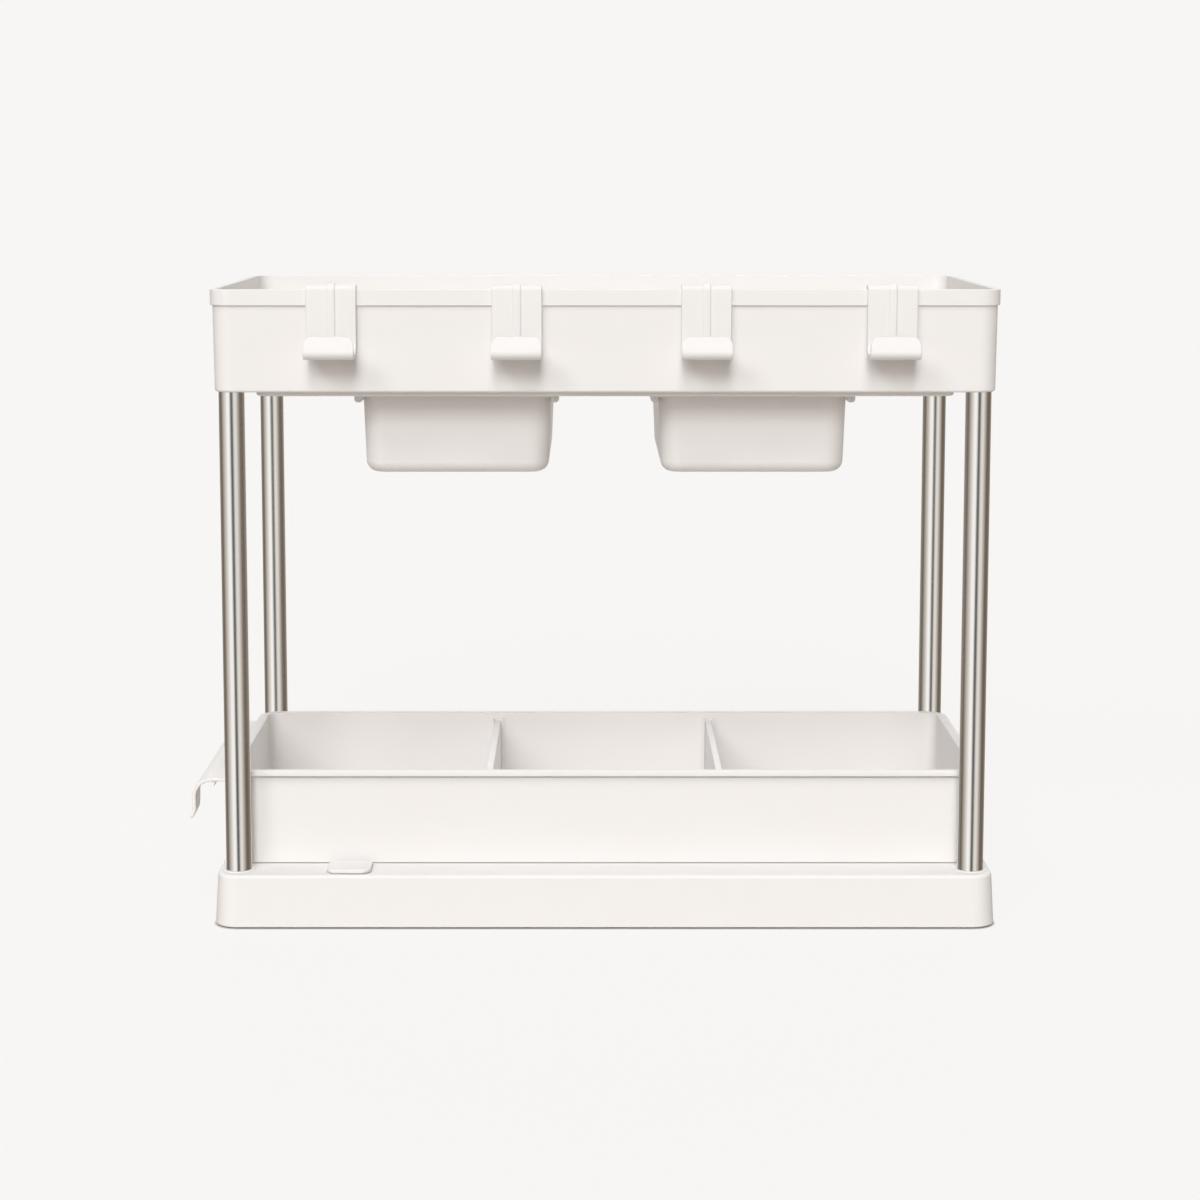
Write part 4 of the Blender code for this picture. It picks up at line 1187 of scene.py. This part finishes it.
@dataclass
class Pull:
    """The drawer's pull: a plate clipped under the rim, a shelf, and a rolled lip between two ears."""

    thickness: float = 0.0018
    top_drop: float = 0.0047
    plate_height: float = 0.0290
    reach: float = 0.0189
    root_radius: float = 0.0022
    roll_radius: float = 0.0090
    lip_length: float = 0.0065
    flare_length: float = 0.0036
    flare_radius: float = 0.0040
    flare_angle: float = math.radians(24)
    tip_share: float = 0.35
    ear_width: float = 0.0170
    arch_drop: float = 0.0045
    arch_radius: float = 0.0060
    arch_steps: int = 8
    edge: float = 0.0005
    edge_steps: int = 3
    bead_setback: float = 0.0099
    bead_width: float = 0.0024
    bead_depth: float = 0.0034
    bead_edge: float = 0.0006
    catch_spacing: float = 0.0800
    catch_width: float = 0.0120
    catch_thickness: float = 0.0018
    catch_rise: float = 0.0028
    catch_hook: float = 0.0010

    def __post_init__(self) -> None:
        """Take the places from the CAD nodes."""
        drawer = Drawer()
        self.wall_x = -drawer.half_x
        self.window_depth = drawer.wall + drawer.draft
        self.shelf_z = drawer.top - self.top_drop
        self.half_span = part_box("drawer_handle")[1].y
        self.plate_x = self.wall_x - SEAT_GAP - self.thickness / 2
        self.plate_z = self.shelf_z - self.thickness / 2 - self.plate_height

    def catches(self, grow: float = 0.0) -> Iterable[Shape]:
        """The catches through the drawer's end wall.

        Args:
            grow: clearance, where the result cuts their windows.

        Yields:
            One shape for each catch.
        """
        level = self.plate_z + self.catch_rise
        inner = self.wall_x + self.window_depth + self.catch_hook + grow
        half_y, half_z = self.catch_width / 2 + grow, self.catch_thickness / 2 + grow
        for y in (-self.catch_spacing / 2, self.catch_spacing / 2):
            yield Shape.block((self.plate_x, y - half_y, level - half_z), (inner, y + half_y, level + half_z))

    def stations(self) -> list[Station]:
        """Middle line: up the plate, out under the rim, and down the rolled lip.

        Returns:
            The stations.
        """
        return walk((self.plate_x, self.plate_z), QUARTER_TURN, [
            Leg(self.plate_height - self.root_radius),
            Leg(self.root_radius * QUARTER_TURN, QUARTER_TURN, steps=8),
            Leg(self.reach - self.root_radius - self.roll_radius),
            Leg(self.roll_radius * QUARTER_TURN, QUARTER_TURN, steps=16), Leg(self.lip_length),
            Leg(self.flare_radius * self.flare_angle, -self.flare_angle, steps=6),
            Leg(self.flare_length - self.thickness / 2), Leg(self.thickness / 2, steps=4),
        ])

    def arch(self) -> Shape:
        """The opening between the two ears.

        Returns:
            The shape to cut away.
        """
        top = self.shelf_z - self.arch_drop
        bottom = self.shelf_z - self.roll_radius - self.lip_length - 2 * self.flare_length - CUT_OVERRUN
        half, reach = self.half_span - self.ear_width, self.arch_radius / 2
        foot, knee = half + self.arch_radius, bottom + self.flare_length + self.arch_radius
        corners = [(-foot, bottom, 0), (foot, bottom, 0), (half, knee, reach)]
        corners += [(half, top, reach), (-half, top, reach), (-half, knee, reach)]
        outline = eased(corners, self.arch_steps, closed=True)
        return Shape.prism(outline, self.wall_x - 2 * self.reach, self.wall_x - self.reach / 2, Axis.X)

    def bead(self) -> Shape:
        """The stiffening bead under the shelf.

        Returns:
            The closed shape.
        """
        x, half = self.wall_x - self.bead_setback, self.bead_width / 2
        under = self.shelf_z - self.thickness
        sunk = under + self.thickness / 2
        corners = [(x - half, sunk, 0), (x, under - self.bead_depth, self.bead_edge), (x + half, sunk, 0)]
        inset = self.half_span - self.edge
        return Shape.prism(eased(corners, closed=True), -inset, inset, Axis.Y)

    def build(self) -> None:
        """Make the pull."""
        stations = self.stations()
        span, full = self.half_span, self.thickness / 2
        sections = []
        for station in stations:
            half = full * max(rounded_end(stations[-1].gone - station.gone, full), self.tip_share)
            edge = min(self.edge, EDGE_SHARE * half)
            corners = [(-span, -half, edge), (span, -half, edge), (span, half, edge), (-span, half, edge)]
            sections.append(eased(corners, self.edge_steps, closed=True))
        pull = Piece("drawer_pull", sweep(stations, sections, Vector((0, -1, 0)), Vector((0, 0, 0))))
        pull.merge(Merge.FUSE, self.bead())
        pull.merge(Merge.CUT, self.arch())
        pull.merge(Merge.FUSE, *self.catches())
        pull.hand_over(Body.DRAWER, "drawer_handle")


@dataclass
class Hook:
    """A hook over the tray's front rim: a ribbed strip that ends in a leaning, rounded lip."""

    body: Body
    thickness: float = 0.0022
    lip_thickness: float = 0.0028
    bend_radius: float = 0.0017
    inner_leg: float = 0.0110
    height: float = 0.0365
    reach: float = 0.0200
    bowl_radius: float = 0.0065
    toe_radius: float = 0.0022
    lip_length: float = 0.0076
    lip_lean: float = math.radians(18)
    lip_corner: Pair = (0.0048, 0.0058)
    edge: float = 0.0005
    edge_steps: int = 3
    rib_half: float = 0.0022
    rib_height: float = 0.0007
    rib_slope: float = 0.0005
    rib_ramp: float = 0.0012
    rib_edge_share: float = 0.4
    tip_share: float = 0.40

    def foot(self) -> list[Leg]:
        """Legs of the lower end: bowl, floor, toe and lip.

        Returns:
            The legs, in order.
        """
        floor = self.reach - (self.thickness + self.lip_thickness) / 2 - self.bowl_radius - self.toe_radius
        toe_turn = QUARTER_TURN + self.lip_lean
        return [
            Leg(self.bowl_radius * QUARTER_TURN, -QUARTER_TURN, steps=12), Leg(floor, steps=4),
            Leg(self.toe_radius * toe_turn, -toe_turn, steps=12),
            Leg(self.lip_length - self.lip_corner[1], steps=1), Leg(self.lip_corner[1], steps=16),
        ]

    def stations(self, rim_width: float) -> list[Station]:
        """Middle line from the leg behind the rim to the lip.

        Args:
            rim_width: thickness of the rim that it hangs over.

        Returns:
            The stations.
        """
        half = self.thickness / 2
        bend = Leg(self.bend_radius * QUARTER_TURN, QUARTER_TURN, steps=8)
        over = Leg(rim_width + 2 * (SEAT_GAP + half) - 2 * self.bend_radius)
        drop = Leg(self.height - self.thickness - self.bend_radius - self.bowl_radius, steps=6)
        start = (rim_width + SEAT_GAP + half, half - self.bend_radius - self.inner_leg)
        legs = [Leg(self.inner_leg + SEAT_GAP), bend, over, bend, drop]
        return walk(start, QUARTER_TURN, legs + self.foot())

    def section(self, gone: float, left: float, half_width: float) -> list[Pair]:
        """The strip's section, where the rib fades out in the bowl, and the lip rounds off.

        Args:
            gone: the way gone along the middle line.
            left: the way left.
            half_width: half the strip's width.

        Returns:
            The section, across and outwards.
        """
        width = half_width - self.lip_corner[0] * (1 - rounded_end(left, self.lip_corner[1]))
        share = min(max(1 - left / sum(leg.length for leg in self.foot()), 0), 1)
        half = (self.thickness + share * (self.lip_thickness - self.thickness)) / 2
        half *= max(rounded_end(left, half), self.tip_share)
        height = self.rib_height * (1 - share) * min(max((gone - self.inner_leg) / self.rib_ramp, 0), 1)
        edge = min(self.edge, EDGE_SHARE * half)
        soft = min(self.edge, self.rib_edge_share * math.hypot(self.rib_slope, height))
        crest, root = self.rib_half - self.rib_slope, self.rib_half
        corners = [(-width, -half, edge), (width, -half, edge), (width, half, edge), (root, half, soft)]
        corners += [(crest, half + height, soft), (-crest, half + height, soft), (-root, half, soft)]
        return eased(corners + [(-width, half, edge)], self.edge_steps, closed=True)

    def build(self) -> None:
        """Make the hook."""
        tray = UpperTray()
        low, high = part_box(self.body.value)
        stations = self.stations(tray.band_proud + tray.wall)
        total, half_width = stations[-1].gone, (high.x - low.x) / 2
        sections = [self.section(here.gone, total - here.gone, half_width) for here in stations]
        origin = Vector(((low.x + high.x) / 2, -tray.half_y, tray.top))
        shape = sweep(stations, sections, Vector((1, 0, 0)), origin)
        Piece(f"{self.body.value}_strip", shape).hand_over(self.body)


@dataclass
class CarriedNodes:
    """CAD nodes that only need a finish: rubber pads, and plastic runners and plugs."""

    rubber_word: str = "foot_pad"

    def build(self) -> None:
        """Dress the nodes that still show."""
        for name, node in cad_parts.items():
            if not node.hide_render:
                slot = Slot.RUBBER if self.rubber_word in name else Slot.PLASTIC
                dress(node, slot)
                log.info("%s stays and is dressed in %s", name, slot.value)


@dataclass(frozen=True)
class Panel:
    """A light or dark panel of the studio as glossy surfaces see it, between two directions in degrees.

    Direction 0 is towards the front, and negative is to the left.
    """

    start: float
    end: float
    colour: Colour


@dataclass(frozen=True)
class Lamp:
    """A broad soft lamp far away, which gloss doesn't show.

    Light is what it adds to a white surface that faces it, where 1 is white. Spread is how wide it looks, and
    azimuth, 0 in front and negative to the left, and elevation are where it stands, all in degrees.
    """

    name: str
    light: float
    colour: Colour
    spread: float
    azimuth: float
    elevation: float

    def hang(self) -> None:
        """Put the lamp into the scene."""
        data = bpy.data.lights.new(self.name, "SUN")
        data.energy = self.light * math.pi
        data.color = self.colour
        data.angle = math.radians(self.spread)
        turn, rise = math.radians(self.azimuth), math.radians(self.elevation)
        back = Vector((math.sin(turn) * math.cos(rise), -math.cos(turn) * math.cos(rise), math.sin(rise)))
        made = put(self.name, data)
        made.rotation_euler = back.to_track_quat("Z", "Y").to_euler()
        made.location = back
        made.visible_glossy = False


@dataclass
class Studio:
    """Camera, floor, world and lamps."""

    lens: float = 80.44
    shift: Pair = (0.0099, -0.08)
    eye: Triple = (-0.0086, -1.4459, 0.3857)
    tilt: float = math.radians(7.004)
    far: float = 200.0
    backdrop: Colour = (0.930, 0.922, 0.905)
    floor_glow: Colour = (0.975, 0.968, 0.955)
    floor_colour: Colour = (0.60, 0.56, 0.52)
    floor_half: float = 30.0
    floor_share: float = 0.12
    # Width of the painted contact shade round the base: the floor fades from its darker lit colour to the
    # glow across it
    contact_shade_margin: float = 0.0014
    front_ambient: Colour = (0.0, 0.0, 0.0)
    rear_ambient: Colour = (0.34, 0.335, 0.33)
    rear_step: Pair = (-0.10, 0.30)
    upper_gloss: Colour = (0.90, 0.90, 0.89)
    upper_step: Pair = (0.05, 0.22)
    panels: tuple[Panel, ...] = (
        Panel(-180, -168, (0.90, 0.88, 0.86)), Panel(-150, -130, (0.33, 0.30, 0.27)),
        Panel(-114, -100, (0.20, 0.165, 0.13)), Panel(-86, -84, (0.45, 0.405, 0.36)),
        Panel(-58, -56, (0.84, 0.80, 0.76)), Panel(-36, -17, (1.20, 1.19, 1.18)),
        Panel(-3, 9, (0.13, 0.13, 0.13)), Panel(24, 42, (0.95, 0.93, 0.90)),
        Panel(62, 64, (0.52, 0.47, 0.42)), Panel(82, 112, (0.19, 0.155, 0.12)),
        Panel(128, 148, (0.34, 0.30, 0.26)), Panel(166, 180, (0.90, 0.88, 0.86)),
    )
    lamps: tuple[Lamp, ...] = (
        Lamp("key_softbox", 0.37, (0.92, 0.97, 1.0), 18, -4, 30),
        Lamp("upper_softbox", 0.38, (0.95, 0.98, 1.0), 24, 0, 60),
        Lamp("left_softbox", 0.25, (0.98, 0.98, 1.0), 20, -35, 35),
        Lamp("low_softbox", 0.18, (1.0, 0.93, 0.86), 22, 0, 17),
        Lamp("back_softbox", 0.30, (1.0, 0.97, 0.94), 60, 180, 25),
        Lamp("right_fill", 0.14, (1.0, 0.98, 0.96), 60, 105, 15),
        Lamp("left_fill", 0.10, (1.0, 0.98, 0.96), 60, -105, 15),
    )

    def camera(self) -> None:
        """Make the camera at the photograph's viewing angle."""
        data = bpy.data.cameras.new("camera")
        data.lens = self.lens
        data.shift_x, data.shift_y = self.shift
        data.clip_end = self.far
        made = put("camera", data)
        made.location = self.eye
        made.rotation_euler = (QUARTER_TURN - self.tilt, 0, 0)
        bpy.context.scene.camera = made

    def floor(self) -> None:
        """Make the floor: pale to the camera, warm white to the light that bounces from it, and a painted
        contact shade close round the base, where the camera sees only the darker lit floor along with the
        base's real shadow.
        """
        half = self.floor_half
        corners = [(-half, -half, 0), (half, -half, 0), (half, half, 0), (-half, half, 0)]
        mesh = bpy.data.meshes.new("floor")
        mesh.from_pydata(corners, [], [(0, 1, 2, 3)])
        made = put("floor", mesh)
        made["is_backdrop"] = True
        made.visible_glossy = False
        material = bpy.data.materials.new("studio_floor")
        material.use_nodes = True
        graph = Graph(material.node_tree)
        lit = graph.node("ShaderNodeBsdfDiffuse", {}, {"Color": self.floor_colour})
        plain = graph.node("ShaderNodeEmission", {}, {"Color": self.floor_glow, "Strength": 1.0})
        # Painted contact shade: at and under the base the camera sees only the darker lit floor, fading to
        # the glow over the margin; the base's real shadow shows in it too
        share = graph.step(self.beyond_base(graph), 0.0, self.contact_shade_margin, 1.0, self.floor_share)
        seen = graph.value("ShaderNodeLightPath", out="Is Camera Ray") * (1 - share)
        both = graph.node("ShaderNodeMixShader", {}, {0: seen, 1: lit.outputs[0], 2: plain.outputs[0]})
        graph.node("ShaderNodeOutputMaterial", {}, {"Surface": both.outputs[0]})
        mesh.materials.append(material)

    def beyond_base(self, graph: Graph) -> Value:
        """How far a place on the floor lies outside the base's outline, in metres.

        Args:
            graph: the floor's node tree.

        Returns:
            The distance, negative under the base.
        """
        parts = graph.node("ShaderNodeSeparateXYZ", {}, {0: graph.place()})
        base = Base()
        square = 0.0
        for index, half in ((0, base.half_x), (1, base.half_y)):
            way = Value(graph, parts.outputs[index])
            past = (way.math("ABSOLUTE") - (half - base.corner_radius)).math("MAXIMUM")
            square = past * past + square
        return square.math("SQRT") - base.corner_radius

    def world(self) -> None:
        """Make the world: pale to the camera, panels to gloss, and plain white to the rest."""
        world = bpy.data.worlds.new("studio")
        world.use_nodes = True
        bpy.context.scene.world = world
        graph = Graph(world.node_tree)
        direction = graph.value("ShaderNodeTexCoord", out="Generated")
        parts = graph.node("ShaderNodeSeparateXYZ", {}, {0: direction})
        x, y, z = (Value(graph, parts.outputs[index]) for index in range(3))
        turn = x.math("ARCTAN2", 0 - y) / math.tau + 0.5
        ends = [(angle, panel.colour) for panel in self.panels for angle in (panel.start, panel.end)]
        stops = [(angle / 360 + 0.5, colour) for angle, colour in ends]
        ramp = graph.value("ShaderNodeValToRGB", {"stops": stops}, {"Fac": turn}, "Color")
        gloss = graph.mix(graph.step(z, *self.upper_step), ramp, self.upper_gloss)
        ambient = graph.mix(graph.step(y, *self.rear_step), self.front_ambient, self.rear_ambient)
        path = graph.node("ShaderNodeLightPath")
        colour = graph.mix(path.outputs["Is Glossy Ray"], ambient, gloss)
        colour = graph.mix(path.outputs["Is Camera Ray"], colour, self.backdrop)
        background = graph.node("ShaderNodeBackground", {}, {"Color": colour, "Strength": 1.0})
        graph.node("ShaderNodeOutputWorld", {}, {"Surface": background.outputs[0]})

    def build(self) -> None:
        """Set up the whole studio."""
        bpy.context.scene.view_settings.view_transform = "Standard"
        self.camera()
        self.floor()
        self.world()
        for lamp in self.lamps:
            lamp.hang()


def write_sizes() -> None:
    """Put the CAD box and the visual model's box into plain lists, which are not kept."""
    boxes = {"cad": CAD_BOX, "visual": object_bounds()}
    {name: [list(corner) for corner in box] for name, box in boxes.items()}


def main() -> None:
    """Build the studio and every sub-assembly."""
    logging.basicConfig(level=logging.INFO, format="%(message)s")
    bins = [Bin(body) for body in (Body.LEFT_BIN, Body.RIGHT_BIN)]
    dividers = [Divider(body) for body in (Body.LEFT_DIVIDER, Body.RIGHT_DIVIDER)]
    hooks = [Hook(body) for body in (Body.HOOK_1, Body.HOOK_2, Body.HOOK_3, Body.HOOK_4)]
    stand = [Base(), LedgeTab(), Tubes(), UpperTray()]
    for part in [Studio(), *stand, *bins, Drawer(), *dividers, Pull(), *hooks, CarriedNodes()]:
        part.build()
    write_sizes()


if __name__ == "__main__":
    main()
